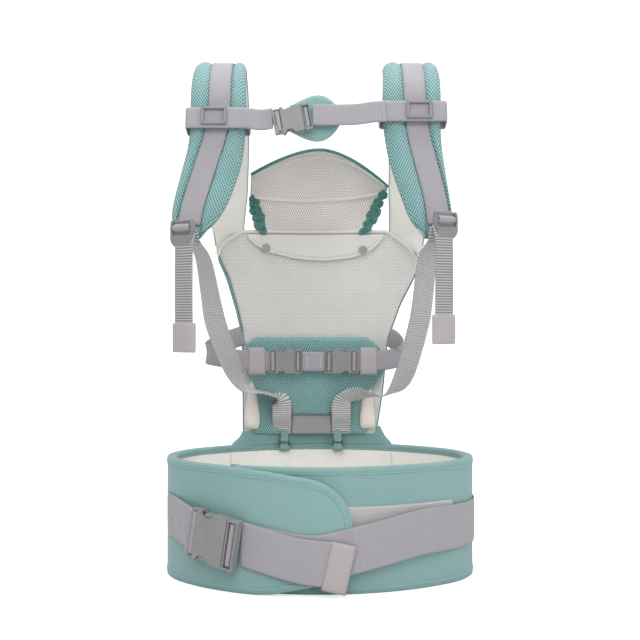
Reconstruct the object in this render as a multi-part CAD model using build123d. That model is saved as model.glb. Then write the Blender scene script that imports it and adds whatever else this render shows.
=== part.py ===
from build123d import *
from math import asin, atan2, cos, degrees, radians, sin, sqrt
import os

# A soft baby carrier standing on the rim of its closed waist belt, +Z up, +X to the wearer's
# right hand as seen from behind the wearer, -Y towards the waist buckle. Millimetres.

# Waist belt: an oval strip whose left end (the flap) laps over its right end (the tongue).
BELT_HALF_WIDTH = 182.0
BELT_HEIGHT = 138.0
BACK_DEPTH = 125.0
FLAP_DEPTH = 131.0
TONGUE_DEPTH = 118.5
BACK_SIDE_RADIUS = 90.0
FLAP_SIDE_RADIUS = 92.0
TONGUE_SIDE_RADIUS = 85.0
FLAP_REACH = 35.0
TONGUE_REACH = -45.0
COVER = (-2.0, 0.0)
FOAM = (-8.3, -2.3)
LINING = (-10.5, -8.6)

# Webbing.
WAIST_WEB = 50.0
WEB = 25.0
WEB_THICK = 1.6

# Panel: an upright cloth body bent to a shallow arc, behind the belt's back rim.
PANEL_RADIUS = 600.0
PANEL_FACE = 120.0
PANEL_BOTTOM = 151.0
PANEL_TOP = 412.0
OUTER_LAYER = (598.5, 600.0)
FOAM_LAYER = (590.0, 598.2)
LINING_LAYER = (588.0, 589.7)
PAD_LAYER = (575.0, 587.7)
WEB_LAYER = (586.0, 587.6)

# Shoulder straps: an arch with leaning legs.
ARCH_RADIUS = 75.0
ARCH_CENTRE = 534.0
LEG_LEAN = 12.0
STRAP_PAD = (-12.5, 0.0)
STRAP_LINING = (-15.0, -12.8)
STRAP_FACE = (0.3, 1.7)
LEG_REACH = 190.0

# Hood: a sheet rolled about an axis that runs across the carrier.
HOOD_AXIS = (57.0, 448.0)
HOOD_RADIUS = (65.0, 68.0)
HOOD_SWEEP = (-30.0, 75.0)

# Side-release buckles, one design in two widths: webbing width, body width, body length,
# bar section length, male base length, thickness.
WAIST_BUCKLE = dict(web=WAIST_WEB, wide=56.0, body=39.0, bar=10.0, base=14.0, thick=12.0)
SMALL_BUCKLE = dict(web=WEB, wide=31.0, body=23.5, bar=10.0, base=9.0, thick=8.0)
BUCKLE_WALL = 3.0
SKIN = 2.0

# The waist buckle's middle sits tangent to the flap at this place and slopes down to the right.
WAIST_BUCKLE_X = -111.0
WAIST_BUCKLE_Z = 59.5
WAIST_BUCKLE_SLOPE = -10.0
WAIST_BUCKLE_MIDDLE = 17.5
BUCKLE_LIFT = 4.6

# The back strap lies in the plane of the straps' near legs.
BACK_STRAP_Z = 525.0
BACK_BUCKLE = (-19.0, -2.0)
BACK_BUCKLE_TILT = 10.0

# The lumbar strap crosses the inside of the panel.
LUMBAR_Y = 84.0
LUMBAR_Z = 246.0
LUMBAR_LEFT = -32.3
LUMBAR_RIGHT = 15.7

# Ladder locks at the straps' lower ends, turned outwards.
LOCK_TURN = 32.0
LOCK_SIZE = (31.0, 29.0, 5.0)
LEFT_LOCK = (-147.0, -119.5, 396.0)
RIGHT_LOCK = (134.0, -119.5, 405.0)
TAIL_LENGTH = 125.0

TAIL_OFFSET = (4.0, 5.6)
KEEPER_OFFSET = (3.4, 7.4)
STAND_SHIFT = (FLAP_DEPTH + KEEPER_OFFSET[1] - BACK_DEPTH) / 2


def oval_arc(depth, side_radius):
    """Radius of an oval's long arc, the distance of its centre from the middle and the angle
    at which it meets the side arc."""
    reach = BELT_HALF_WIDTH - side_radius
    radius = (reach**2 + depth**2 - side_radius**2) / (2 * (depth - side_radius))
    return radius, radius - depth, degrees(atan2(radius - depth, reach))


BACK_ARC, BACK_CENTRE, BACK_MEET = oval_arc(BACK_DEPTH, BACK_SIDE_RADIUS)
FLAP_ARC, FLAP_CENTRE, FLAP_MEET = oval_arc(FLAP_DEPTH, FLAP_SIDE_RADIUS)
TONGUE_ARC, TONGUE_CENTRE, TONGUE_MEET = oval_arc(TONGUE_DEPTH, TONGUE_SIDE_RADIUS)


def arc_wall(centre, inner, outer, start, end, low, high):
    """An upright wall that follows an arc about centre, between two angles and two heights."""
    sweep = end - start
    rim = CenterArc((0, 0), outer, start, sweep)
    inside = CenterArc((0, 0), inner, start, sweep)
    face = make_face([rim, inside, Line(rim @ 0, inside @ 0), Line(rim @ 1, inside @ 1)])
    return extrude(Pos(centre[0], centre[1], low) * face, amount=high - low)


def prism(points, near, far, radius=0):
    """A block seen from the front as a polygon of (x, z) points, rounded where asked."""
    if radius:
        outline = FilletPolyline(*points, radius=radius, close=True)
    else:
        outline = Polyline(*points, close=True)
    return extrude(Pos(0, far, 0) * (Plane.XZ * make_face(outline)), amount=far - near)


def bar(start, end):
    """A box between two opposite corners."""
    size = [b - a for a, b in zip(start, end)]
    middle = [(a + b) / 2 for a, b in zip(start, end)]
    return Pos(*middle) * Box(*size)


def ribbon(stations, width=WEB, thick=WEB_THICK):
    """Flat webbing through stations of (centre, rough width direction), as ruled faces."""
    middles = [Vector(*centre) for centre, _ in stations]
    frames = []
    for i, (_, across) in enumerate(stations):
        ahead = (middles[min(i + 1, len(middles) - 1)] - middles[max(i - 1, 0)]).normalized()
        rise = ahead.cross(Vector(*across)).normalized()
        half = rise.cross(ahead) * (width / 2)
        rise *= thick / 2
        corners = [middles[i] + u * half + v * rise for u, v in ((-1, -1), (1, -1), (1, 1), (-1, 1))]
        frames.append([Edge.make_line(corners[k], corners[(k + 1) % 4]) for k in range(4)])
    faces = [Face(Wire(frames[0])), Face(Wire(frames[-1]))]
    for near, far in zip(frames, frames[1:]):
        faces += [Face.make_surface_from_curves(near[k], far[k]) for k in range(4)]
    return Solid(Shell(faces))


# Belt ------------------------------------------------------------------------------------


def tongue_wall(offsets, left, low, high):
    """The belt's right front: from x = left round to the right side."""
    inner, outer = (TONGUE_ARC + o for o in offsets)
    start = -90 + degrees(asin(left / TONGUE_ARC))
    front = arc_wall((0, TONGUE_CENTRE), inner, outer, start, -TONGUE_MEET, low, high)
    side_inner, side_outer = (TONGUE_SIDE_RADIUS + o for o in offsets)
    centre = (BELT_HALF_WIDTH - TONGUE_SIDE_RADIUS, 0)
    return front + arc_wall(centre, side_inner, side_outer, -TONGUE_MEET, 0, low, high)


def back_wall(offsets, low, high):
    """The belt's back half."""
    inner, outer = (BACK_ARC + o for o in offsets)
    side_inner, side_outer = (BACK_SIDE_RADIUS + o for o in offsets)
    reach = BELT_HALF_WIDTH - BACK_SIDE_RADIUS
    wall = arc_wall((0, -BACK_CENTRE), inner, outer, BACK_MEET, 180 - BACK_MEET, low, high)
    wall += arc_wall((reach, 0), side_inner, side_outer, 0, BACK_MEET, low, high)
    return wall + arc_wall((-reach, 0), side_inner, side_outer, 180 - BACK_MEET, 180, low, high)


def flap_wall(offsets, left, right, low, high):
    """A wall along the flap's front arc between two places."""
    inner, outer = (FLAP_ARC + o for o in offsets)
    start, end = (-90 + degrees(asin(x / FLAP_ARC)) for x in (left, right))
    return arc_wall((0, FLAP_CENTRE), inner, outer, start, end, low, high)


def flap_side(offsets, low, high, right=False):
    """The side arc that leads into the flap's front arc, on the left, or mirrored on the right."""
    inner, outer = (FLAP_SIDE_RADIUS + o for o in offsets)
    reach = BELT_HALF_WIDTH - FLAP_SIDE_RADIUS
    if right:
        return arc_wall((reach, 0), inner, outer, -FLAP_MEET, 0, low, high)
    return arc_wall((-reach, 0), inner, outer, 180, 180 + FLAP_MEET, low, high)


FLAP_MEET_X = (BELT_HALF_WIDTH - FLAP_SIDE_RADIUS) + FLAP_SIDE_RADIUS * cos(radians(FLAP_MEET))


def belt_layer(offsets, inset):
    """One layer of the belt, its edges drawn in by inset."""
    low, high = inset, BELT_HEIGHT - inset
    end = FLAP_REACH - inset
    flap = flap_wall(offsets, -FLAP_MEET_X, end + 5, low, high)
    outline = [
        (-175, -5),
        (-70, -5),
        (-18, 8 + inset),
        (end, 16 + inset),
        (end, 122 - inset),
        (-18, 127 - inset),
        (-110, BELT_HEIGHT - inset),
        (-175, BELT_HEIGHT + 4),
    ]
    flap &= prism(outline, -160, 20, radius=[1, 20, 40, 40, 40, 30, 60, 1])
    layer = flap + flap_side(offsets, low, high)
    return layer + back_wall(offsets, low, high) + tongue_wall(offsets, TONGUE_REACH + inset, low, high)


def loop_patch():
    """Loop fastener on the tongue's outer face."""
    return arc_wall(
        (0, TONGUE_CENTRE),
        TONGUE_ARC + 0.1,
        TONGUE_ARC + 0.8,
        -90 + degrees(asin(-30 / TONGUE_ARC)),
        -TONGUE_MEET,
        45,
        96,
    )


def hook_patch():
    """Hook fastener on the flap's inner face."""
    return flap_wall((LINING[0] - 0.8, LINING[0] - 0.1), -30, 20, 48, 92)


def waist_anchor():
    """Webbing sewn to the belt's left, ending at the female buckle's bar."""
    wall = flap_wall((0.4, 2.0), -FLAP_MEET_X, -138, 0, BELT_HEIGHT)
    wall += flap_side((0.4, 2.0), 0, BELT_HEIGHT)
    return wall & prism([(-190, 50), (-190, 102), (-165, 98), (-141, 93), (-141, 43), (-165, 48)], -160, 2)


def waist_strap():
    """The long waist webbing, from the right side across the front to the buckle."""
    offsets = (0.4, 2.0)
    wall = flap_wall(offsets, -76, FLAP_MEET_X, 0, BELT_HEIGHT)
    wall += flap_side(offsets, 0, BELT_HEIGHT, right=True)
    top = [(190, 90), (110, 91), (37, 76), (-10, 66.5), (-80, 78)]
    bottom = [(-80, 27.5), (-10, 15), (37, 25), (110, 40), (190, 39.5)]
    return wall & prism(top + bottom, -160, 2)


def waist_tail():
    """The webbing's free tail, back over the strap."""
    wall = flap_wall(TAIL_OFFSET, -74, 14, 0, BELT_HEIGHT)
    top = [(-80, 80.5), (-24, 64.5), (20, 61)]
    bottom = [(20, 11), (-24, 15.5), (-80, 31.5)]
    return wall & prism(top + bottom, -160, 2)


def waist_tail_keeper():
    """The folded end of the tail."""
    wall = flap_wall(KEEPER_OFFSET, 14.4, 40, 0, BELT_HEIGHT)
    return wall & prism([(10, 64), (38, 57), (28, 3), (2, 10)], -160, 2, radius=3)


# Buckles ---------------------------------------------------------------------------------
# Local frame: x along the webbing with the socket open towards +x at x = 0, y across the
# webbing, z out of the buckle's back.


def buckle_female(size):
    """Socket with a notch in each side and a webbing bar behind it."""
    half, body, thick = size["wide"] / 2, size["body"], size["thick"]
    part = bar((-body, -half, 0), (0, half, thick))
    part = fillet(part.edges().filter_by(Axis.X), SKIN)
    room = half - BUCKLE_WALL
    part -= bar((-body + BUCKLE_WALL, -room, SKIN), (1, room, thick - SKIN))
    notch = (-body + 2 * BUCKLE_WALL, -body + 2 * BUCKLE_WALL + size["wide"] / 5)
    part -= bar((notch[0], -half - 1, SKIN), (notch[1], half + 1, thick - SKIN))
    frame = bar((-body - size["bar"], -half, SKIN), (-body + 1, half, thick - SKIN))
    slot = size["web"] / 2 + 0.5
    frame -= bar((-body - size["bar"] + BUCKLE_WALL, -slot, 0), (-body - 1.5, slot, thick))
    return part + frame


def buckle_male(size):
    """Base with a webbing slot and a guide tongue that goes into the socket."""
    half, thick, base = size["wide"] / 2, size["thick"], size["base"]
    part = bar((0.3, -half, 0), (base, half, thick))
    part = fillet(part.edges().filter_by(Axis.X), SKIN)
    slot = size["web"] / 2 + 0.5
    part -= bar((base - 2.4 - base / 4, -slot, -1), (base - 2.4, slot, thick + 1))
    reach = size["body"] - 3 * BUCKLE_WALL
    room = SKIN + 0.6
    return part + bar((-reach, -3, room), (0.5, 3, thick - room))


def latch_arm(size, side):
    """One sprung arm of the male half; side is +1 or -1 across the webbing."""
    outside = size["wide"] / 2 - BUCKLE_WALL - 0.8
    arm = size["wide"] / 13
    room = SKIN + 0.5
    reach = size["body"] - 2 * BUCKLE_WALL
    part = bar((-reach, outside - arm, room), (-0.6, outside, size["thick"] - room))
    part = fillet(part.edges().filter_by(Axis.Z), 1.0)
    return part if side > 0 else mirror(part, about=Plane.XZ)


def waist_buckle_plane():
    """Tangent to the flap's outer face, x along the strap from the socket's mouth, y up."""
    height = FLAP_CENTRE - sqrt(FLAP_ARC**2 - WAIST_BUCKLE_X**2)
    outward = Vector(WAIST_BUCKLE_X, height - FLAP_CENTRE, 0).normalized()
    origin = Vector(WAIST_BUCKLE_X, height, WAIST_BUCKLE_Z) + outward * BUCKLE_LIFT
    along = Vector(-outward.Y, outward.X, 0)
    level = Plane(origin=origin, x_dir=along, z_dir=outward)
    sloped = Plane(level.location * Rot(0, 0, WAIST_BUCKLE_SLOPE))
    sloped.origin += sloped.x_dir * WAIST_BUCKLE_MIDDLE
    return sloped


# Panel -----------------------------------------------------------------------------------


def panel_layer(layer, outline, radius=0):
    """A layer of the panel cut to an outline seen from the front."""
    wall = arc_wall((0, PANEL_FACE - PANEL_RADIUS), layer[0], layer[1], 74, 106, 100, 450)
    return wall & prism(outline, 0, 140, radius=radius)


def panel_outline(inset):
    """The panel's front view: wide shoulders, a waist and a straight foot."""
    return [
        (-99 + inset, PANEL_TOP - inset),
        (-134 + inset, 393),
        (-119 + inset, 355),
        (-100 + inset, 286),
        (-100 + inset, PANEL_BOTTOM + inset),
        (76 - inset, PANEL_BOTTOM + inset),
        (88 - inset, 284),
        (118 - inset, 346),
        (133 - inset, 385),
        (90 - inset, PANEL_TOP - inset),
    ]


def panel_foot():
    """The cloth that joins the panel to the belt's back rim."""
    wall = arc_wall((0, -BACK_CENTRE), BACK_ARC - 12, BACK_ARC, 60, 120, BELT_HEIGHT, 160)
    low = BELT_HEIGHT + 0.5
    top = PANEL_BOTTOM - 0.5
    return wall & prism([(-112, low), (-102, top), (78, top), (90, low)], 0, 140)


def bolsters():
    """Two soft rolls at the panel's lower sides."""
    left = panel_layer((577, 587.7), [(-99, 216), (-99, 158), (-83, 158), (-83, 206)])
    right = panel_layer((577, 587.7), [(59, 206), (59, 158), (75, 158), (79, 206)])
    return Compound([left.solid(), right.solid()])


def lumbar_pad():
    """Spacer-mesh pad on the inside of the panel."""
    outline = [
        (-98, 258),
        (-74, 278),
        (52, 274),
        (83, 250),
        (79, 232),
        (62, 210),
        (14, 176.5),
        (-36, 176.5),
        (-80, 211),
        (-95, 235),
    ]
    return panel_layer(PAD_LAYER, outline)


def riser_left():
    """Left strap webbing: up the panel, turned out to the side and forward to its lock."""
    return ribbon(
        [
            ((-49.3, 103.6, 152), (1, 0, 0)),
            ((-49.3, 102, 161), (1, 0, 0)),
            ((-49.3, 90.5, 174), (1, 0, 0)),
            ((-49.3, 88.5, 192), (1, 0, 0)),
            ((-56, 87.5, 200), (1, 0, 0.7)),
            ((-76, 84, 206), (0.3, 0, 1)),
            ((-93, 72, 214), (0.3, 0.2, 1)),
            ((-106, 48, 234), (1, 0, 0.7)),
            ((-123.5, -10, 293), (1, 0, 0.2)),
            ((-126.6, -40, 320), (1, 0, 0)),
            ((-130, -88, 368), (1, 0, 0)),
            ((-141, -110, 383), (1, -0.4, 0)),
        ]
    )


def riser_right():
    """Right strap webbing."""
    return ribbon(
        [
            ((27.3, 103.6, 152), (1, 0, 0)),
            ((27.3, 102, 161), (1, 0, 0)),
            ((27.3, 90.5, 174), (1, 0, 0)),
            ((27.3, 88.5, 190), (1, 0, 0)),
            ((36, 87.5, 197), (1, 0, -0.7)),
            ((66, 85, 201), (0.3, 0, -1)),
            ((92, 71, 211), (0.5, 0.2, -1)),
            ((105.9, 48, 233), (1, 0, -0.4)),
            ((119, -10, 293), (1, 0, 0)),
            ((121.3, -40, 320), (1, 0, 0)),
            ((122, -88, 368), (1, 0, 0)),
            ((130, -109, 384), (1, 0.4, 0)),
        ]
    )


def lumbar_loop_left():
    """Left side webbing of the lumbar strap: out from the panel's edge and back to the buckle."""
    up = (0, 0, 1)
    return ribbon(
        [
            ((-102, 95, 279), up),
            ((-122, 85, 271), up),
            ((-139, 73, 262), up),
            ((-142.5, 67, 258), up),
            ((-138, 62, 255), up),
            ((-112, 69, 250), up),
            ((-97, 75, 248), up),
        ]
    )


def lumbar_loop_right():
    """Right side webbing of the lumbar strap."""
    up = (0, 0, 1)
    return ribbon(
        [
            ((91.5, 97, 277), up),
            ((99, 88, 270), up),
            ((104, 78, 262), up),
            ((101, 71, 254), up),
            ((92, 68, 248), up),
            ((80, 70, 246), up),
        ]
    )


def lumbar_plane(left):
    """Back plane of a lumbar buckle, x towards the middle of the panel."""
    if left:
        return Plane(origin=(LUMBAR_LEFT, LUMBAR_Y, LUMBAR_Z), x_dir=(1, 0, 0), z_dir=(0, -1, 0))
    return Plane(origin=(LUMBAR_RIGHT, LUMBAR_Y, LUMBAR_Z), x_dir=(-1, 0, 0), z_dir=(0, -1, 0))


def lumbar_webbing():
    """Short webbing between the two male halves."""
    gap = 0.2
    left = LUMBAR_LEFT + SMALL_BUCKLE["base"] + gap
    right = LUMBAR_RIGHT - SMALL_BUCKLE["base"] - gap
    middle = LUMBAR_Y - SMALL_BUCKLE["thick"] / 2
    half = WEB / 2
    return bar(
        (left, middle - WEB_THICK / 2, LUMBAR_Z - half),
        (right, middle + WEB_THICK / 2, LUMBAR_Z + half),
    )


# Shoulder straps -------------------------------------------------------------------------


def arch(offsets):
    """The strap's side view between two offsets, swept across the whole width, in two halves."""
    inner, outer = (ARCH_RADIUS + o for o in offsets)
    lean = radians(LEG_LEAN)
    faces = []
    for side in (-1, 1):
        rim = Vector(side * outer * cos(lean), outer * sin(lean))
        inside = Vector(side * inner * cos(lean), inner * sin(lean))
        run = Vector(side * sin(lean), -cos(lean)) * LEG_REACH
        middle = radians((90 + LEG_LEAN) / 2)
        bend = Vector(side * cos(middle), sin(middle))
        outline = [
            ThreePointArc((0, outer), bend * outer, rim),
            Line(rim, rim + run),
            Line(rim + run, inside + run),
            Line(inside + run, inside),
            ThreePointArc(inside, bend * inner, (0, inner)),
            Line((0, inner), (0, outer)),
        ]
        faces.append(make_face(outline))
    return [extrude(Pos(-200, 0, ARCH_CENTRE) * (Plane.YZ * face), amount=400) for face in faces]


TOP = 630.0
NEAR_LEFT = [
    (-147, TOP),
    (-147, 500),
    (-163, 431),
    (-166, 404),
    (-158, 389),
    (-128, 389),
    (-116, 404),
    (-104, 426),
    (-88, 475),
    (-84, 530),
    (-89, TOP),
]
NEAR_RIGHT = [
    (76, TOP),
    (71, 530),
    (77, 482),
    (88, 446),
    (101, 403),
    (110, 389),
    (140, 389),
    (148, 408),
    (145, 430),
    (136, 500),
    (139, TOP),
]
FAR_LEFT = [(-147, TOP), (-150, 480), (-135, 394), (-100, 412.8), (-93, 455), (-90, 520), (-89, TOP)]
FAR_RIGHT = [(76, TOP), (88, 500), (88, 455), (90.5, 412.8), (133, 386), (142, 470), (139, TOP)]
LEFT_FACE = [
    (-126.5, TOP),
    (-126.5, 520),
    (-157, 412),
    (-134, 412),
    (-101.5, 520),
    (-101.5, TOP),
]
RIGHT_FACE = [(94.5, TOP), (95.5, 520), (119, 420), (144, 420), (120.5, 520), (119.5, TOP)]


def strap_layer(offsets, near_outline, far_outline):
    """A layer of one shoulder strap."""
    near, far = arch(offsets)
    near &= prism(near_outline, -200, 0)
    far &= prism(far_outline, 0, 200)
    return near + far


def face_webbing(outline):
    """Webbing sewn along the outside of a shoulder strap."""
    near, far = arch(STRAP_FACE)
    far &= bar((-200, -1, 520), (200, 200, TOP))
    return (near + far) & prism(outline, -200, 200)


# Ladder locks and tails ------------------------------------------------------------------


def lock_plane(place, side):
    """Back plane of a ladder lock turned outwards; x across the webbing, z out of its face."""
    turn = radians(LOCK_TURN)
    return Plane(
        origin=place,
        x_dir=(cos(turn), side * sin(turn), 0),
        z_dir=(side * sin(turn), -cos(turn), 0),
    )


def ladder_lock():
    """Frame with three bars, two slots and a thumb tab, in its own frame."""
    wide, tall, thick = LOCK_SIZE
    part = bar((-wide / 2, -tall / 2, 0), (wide / 2, tall / 2, thick))
    part = fillet(part.edges().filter_by(Axis.Z), 4.0)
    slot = WEB / 2 + 0.5
    for low in (-4.5, 7.5):
        part -= bar((-slot, low, -1), (slot, low + 4.5, thick + 1))
    return part - bar((-slot, -tall / 2 - 1, -1), (slot, -tall / 2 + 3, thick / 2))


def tail_webbing():
    """Free end of the adjuster webbing, hanging from the lock's middle bar."""
    top = -5.0
    return bar((-WEB / 2, top - TAIL_LENGTH, 6.0), (WEB / 2, top, 6.0 + WEB_THICK))


def tail_keeper():
    """Elastic sleeve folded round the tail's end."""
    low = -5.0 - TAIL_LENGTH - 2
    sleeve = bar((-15.5, low, 4.0), (15.5, low + 32, 9.6))
    return sleeve - bar((-13, low - 1, 5.6), (13, low + 33, 8.0))


# Back strap ------------------------------------------------------------------------------


def leg_plane(x, z):
    """Plane of the near legs' outer faces at height z; x across, y up the leg, z outwards."""
    lean = radians(LEG_LEAN)
    foot_y = -ARCH_RADIUS * cos(lean)
    foot_z = ARCH_CENTRE + ARCH_RADIUS * sin(lean)
    return Plane(
        origin=(x, foot_y - (foot_z - z) * sin(lean) / cos(lean), z),
        x_dir=(1, 0, 0),
        z_dir=(0, -cos(lean), sin(lean)),
    )


def strap_ring(left, right):
    """Webbing wrapped round a strap's near leg, in the leg's plane."""
    half = WEB / 2
    back = STRAP_LINING[0] - 3.2
    ring = bar((left, -half, back), (right, half, 3.6))
    return ring - bar((left + WEB_THICK, -half - 1, back + WEB_THICK), (right - WEB_THICK, half + 1, 2.0))


def back_webbing_left():
    """Left half of the back strap: ring, then webbing to the female buckle."""
    end = BACK_BUCKLE[0] - SMALL_BUCKLE["body"] - SMALL_BUCKLE["bar"] - 0.5
    part = strap_ring(-150.5, -79.5)
    part += bar((-103, -WEB / 2, 2.0), (end, WEB / 2, 3.6))
    return leg_plane(0, BACK_STRAP_Z) * part


def back_ring_right():
    """Right ring of the back strap."""
    return leg_plane(0, BACK_STRAP_Z + 6) * strap_ring(67.5, 142.5)


def back_webbing_right():
    """Webbing from the male buckle over the right triglide."""
    start = BACK_BUCKLE[0] + SMALL_BUCKLE["base"] + 2
    return leg_plane(0, BACK_STRAP_Z + 4) * bar((start, -WEB / 2, 8.0), (128, WEB / 2, 8.0 + WEB_THICK))


def triglide():
    """Slider frame with a middle bar, in the leg's plane."""
    part = bar((-14, -10, 3.9), (14, 10, 7.4))
    part = fillet(part.edges().filter_by(Axis.Z), 2.5)
    for side in (-1, 1):
        part -= bar((side * 6 - 4.5, -7, 0), (side * 6 + 4.5, 7, 10))
    return part


def back_buckle_plane():
    """Back plane of the back buckle, tilted up to the right."""
    plane = leg_plane(BACK_BUCKLE[0], BACK_STRAP_Z + BACK_BUCKLE[1])
    return Plane(plane.offset(4.0).location * Rot(0, 0, BACK_BUCKLE_TILT))


def back_pad():
    """Soft pad behind the back buckle."""
    outline = [(-42, 12), (-29, 28), (4, 28), (26, 10), (26, -14), (8, -26), (-20, -26), (-40, -14)]
    face = make_face(FilletPolyline(*outline, radius=8, close=True))
    return leg_plane(-13, BACK_STRAP_Z - 1) * (Pos(0, 0, -7) * extrude(face, amount=7))


# Hood, neck flap and snaps ---------------------------------------------------------------


def hood_shell():
    """The hood standing on the panel's top edge, leaning forward."""
    start, end = HOOD_SWEEP
    inner, outer = HOOD_RADIUS
    rim = CenterArc((0, 0), outer, start, end - start)
    inside = CenterArc((0, 0), inner, start, end - start)
    face = make_face([rim, inside, Line(rim @ 0, inside @ 0), Line(rim @ 1, inside @ 1)])
    sheet = extrude(Pos(-150, HOOD_AXIS[0], HOOD_AXIS[1]) * (Plane.YZ * face), amount=300)
    outline = [(-92, 413), (-92, 486), (-48, 522), (44, 522), (89, 482), (89, 413)]
    return sheet & prism(outline, 0, 200, radius=[1, 30, 40, 40, 30, 1])


FLAP_LAYER = (584.2, 585.8)
SNAPS = ((-69.6, 392.0), (56.0, 389.4))


def neck_flap():
    """Crescent facing under the panel's top edge."""
    outline = [(-94, 410), (-92, 399), (-66, 383), (-31, 375.5), (3, 373.5), (37, 377), (61, 383), (81, 399), (83, 410)]
    return panel_layer(FLAP_LAYER, outline)


def snap_discs(radius, low, high):
    """A pair of round snaps on the panel's inside, between two radii of its arc."""
    discs = []
    for x, z in SNAPS:
        out = Vector(x, sqrt(high**2 - x**2), 0).normalized()
        centre = Vector(0, PANEL_FACE - PANEL_RADIUS, z) + out * low
        plane = Plane(origin=centre, x_dir=(0, 0, 1), z_dir=out)
        discs.append(extrude(plane * Circle(radius), amount=high - low))
    return Compound(discs)


# Belt hooks ------------------------------------------------------------------------------

HOOK_PLACES = (-46.0, 23.0)
HOOK_AXIS = (101.0, 136.0)


def rod(x, length, radius):
    """A round bar along X about the hooks' axis."""
    return Pos(x, *HOOK_AXIS) * Rot(0, 90, 0) * Cylinder(radius, length)


def hook_loops():
    """Rolled cloth loops on the belt's inside, one for each hook."""
    loops = []
    for x in HOOK_PLACES:
        roll = rod(x, 19, 4.0)
        for side in (-1, 1):
            edge = x + side * 7.5
            back = -BACK_CENTRE + sqrt((BACK_ARC + LINING[0]) ** 2 - (abs(edge) + 2) ** 2) - 0.1
            roll += bar((edge - 2, HOOK_AXIS[0], 133), (edge + 2, back, 138))
        loops.append(roll)
    return Compound([loop.solid() for loop in loops])


def belt_hook(x):
    """Flat plastic hook that swings on its loop."""
    ring = rod(x, 9, 6.2)
    plate = bar((x - 6.5, HOOK_AXIS[0] - 3.5, HOOK_AXIS[1] + 4.5), (x + 6.5, HOOK_AXIS[0] - 0.5, 150.5))
    return ring + plate - rod(x, 20, 4.6)


# Assembly --------------------------------------------------------------------------------


def belt_parts():
    """Everything that stays on the waist belt."""
    plane = waist_buckle_plane()
    return {
        "belt_cover": belt_layer(COVER, 0),
        "belt_foam": belt_layer(FOAM, 3),
        "belt_lining": belt_layer(LINING, 1),
        "loop_patch": loop_patch(),
        "hook_patch": hook_patch(),
        "waist_anchor_webbing": waist_anchor(),
        "waist_strap": waist_strap(),
        "waist_buckle_female": plane * buckle_female(WAIST_BUCKLE),
        "waist_buckle_male": plane * buckle_male(WAIST_BUCKLE),
        "waist_latch_upper": plane * latch_arm(WAIST_BUCKLE, 1),
        "waist_latch_lower": plane * latch_arm(WAIST_BUCKLE, -1),
        "waist_strap_tail": waist_tail(),
        "waist_tail_keeper": waist_tail_keeper(),
        "belt_hook_loops": hook_loops(),
        "belt_hook_left": belt_hook(HOOK_PLACES[0]),
        "belt_hook_right": belt_hook(HOOK_PLACES[1]),
    }


def panel_parts():
    """The panel and what is fixed to it."""
    parts = {
        "panel_foot": panel_foot(),
        "panel_outer": panel_layer(OUTER_LAYER, panel_outline(0)),
        "panel_foam": panel_layer(FOAM_LAYER, panel_outline(4)),
        "panel_lining": panel_layer(LINING_LAYER, panel_outline(0)),
        "panel_bolsters": bolsters(),
        "lumbar_pad": lumbar_pad(),
        "bottom_webbing": panel_layer(WEB_LAYER, [(-36, 153), (-36, 175), (14, 175), (14, 153)]),
        "strap_webbing_left": riser_left(),
        "strap_webbing_right": riser_right(),
        "lumbar_loop_left": lumbar_loop_left(),
        "lumbar_loop_right": lumbar_loop_right(),
        "lumbar_webbing": lumbar_webbing(),
        "hood_shell": hood_shell(),
        "neck_flap": neck_flap(),
        "snap_caps": snap_discs(5.5, FLAP_LAYER[0] - 1.8, FLAP_LAYER[0] - 0.1),
        "snap_studs": snap_discs(4.0, FLAP_LAYER[1] + 0.4, LINING_LAYER[0] - 0.1),
    }
    for name, left in (("left", True), ("right", False)):
        plane = lumbar_plane(left)
        parts[f"lumbar_female_{name}"] = plane * buckle_female(SMALL_BUCKLE)
        parts[f"lumbar_male_{name}"] = plane * buckle_male(SMALL_BUCKLE)
        for word, side in (("upper", 1), ("lower", -1)):
            side = side if left else -side
            parts[f"lumbar_latch_{name}_{word}"] = plane * latch_arm(SMALL_BUCKLE, side)
    return parts


def strap_parts():
    """The shoulder straps, their hardware and the back strap."""
    parts = {
        "shoulder_strap_left": strap_layer(STRAP_PAD, NEAR_LEFT, FAR_LEFT),
        "shoulder_strap_right": strap_layer(STRAP_PAD, NEAR_RIGHT, FAR_RIGHT),
        "shoulder_linings": Compound(
            [
                strap_layer(STRAP_LINING, NEAR_LEFT, FAR_LEFT).solid(),
                strap_layer(STRAP_LINING, NEAR_RIGHT, FAR_RIGHT).solid(),
            ]
        ),
        "strap_face_webbing_left": face_webbing(LEFT_FACE),
        "strap_face_webbing_right": face_webbing(RIGHT_FACE),
        "back_webbing_left": back_webbing_left(),
        "back_ring_right": back_ring_right(),
        "back_webbing_right": back_webbing_right(),
        "triglides": Compound(
            [
                (leg_plane(-118, BACK_STRAP_Z) * triglide()).solid(),
                (leg_plane(111, BACK_STRAP_Z + 6) * triglide()).solid(),
            ]
        ),
        "back_pad": back_pad(),
    }
    plane = back_buckle_plane()
    parts["back_buckle_female"] = plane * buckle_female(SMALL_BUCKLE)
    parts["back_buckle_male"] = plane * buckle_male(SMALL_BUCKLE)
    parts["back_latch_upper"] = plane * latch_arm(SMALL_BUCKLE, 1)
    parts["back_latch_lower"] = plane * latch_arm(SMALL_BUCKLE, -1)
    for name, place, side in (("left", LEFT_LOCK, -1), ("right", RIGHT_LOCK, 1)):
        plane = lock_plane(place, side)
        parts[f"ladder_lock_{name}"] = plane * ladder_lock()
        parts[f"tail_webbing_{name}"] = plane * tail_webbing()
        parts[f"tail_keeper_{name}"] = plane * tail_keeper()
    return parts


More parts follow.
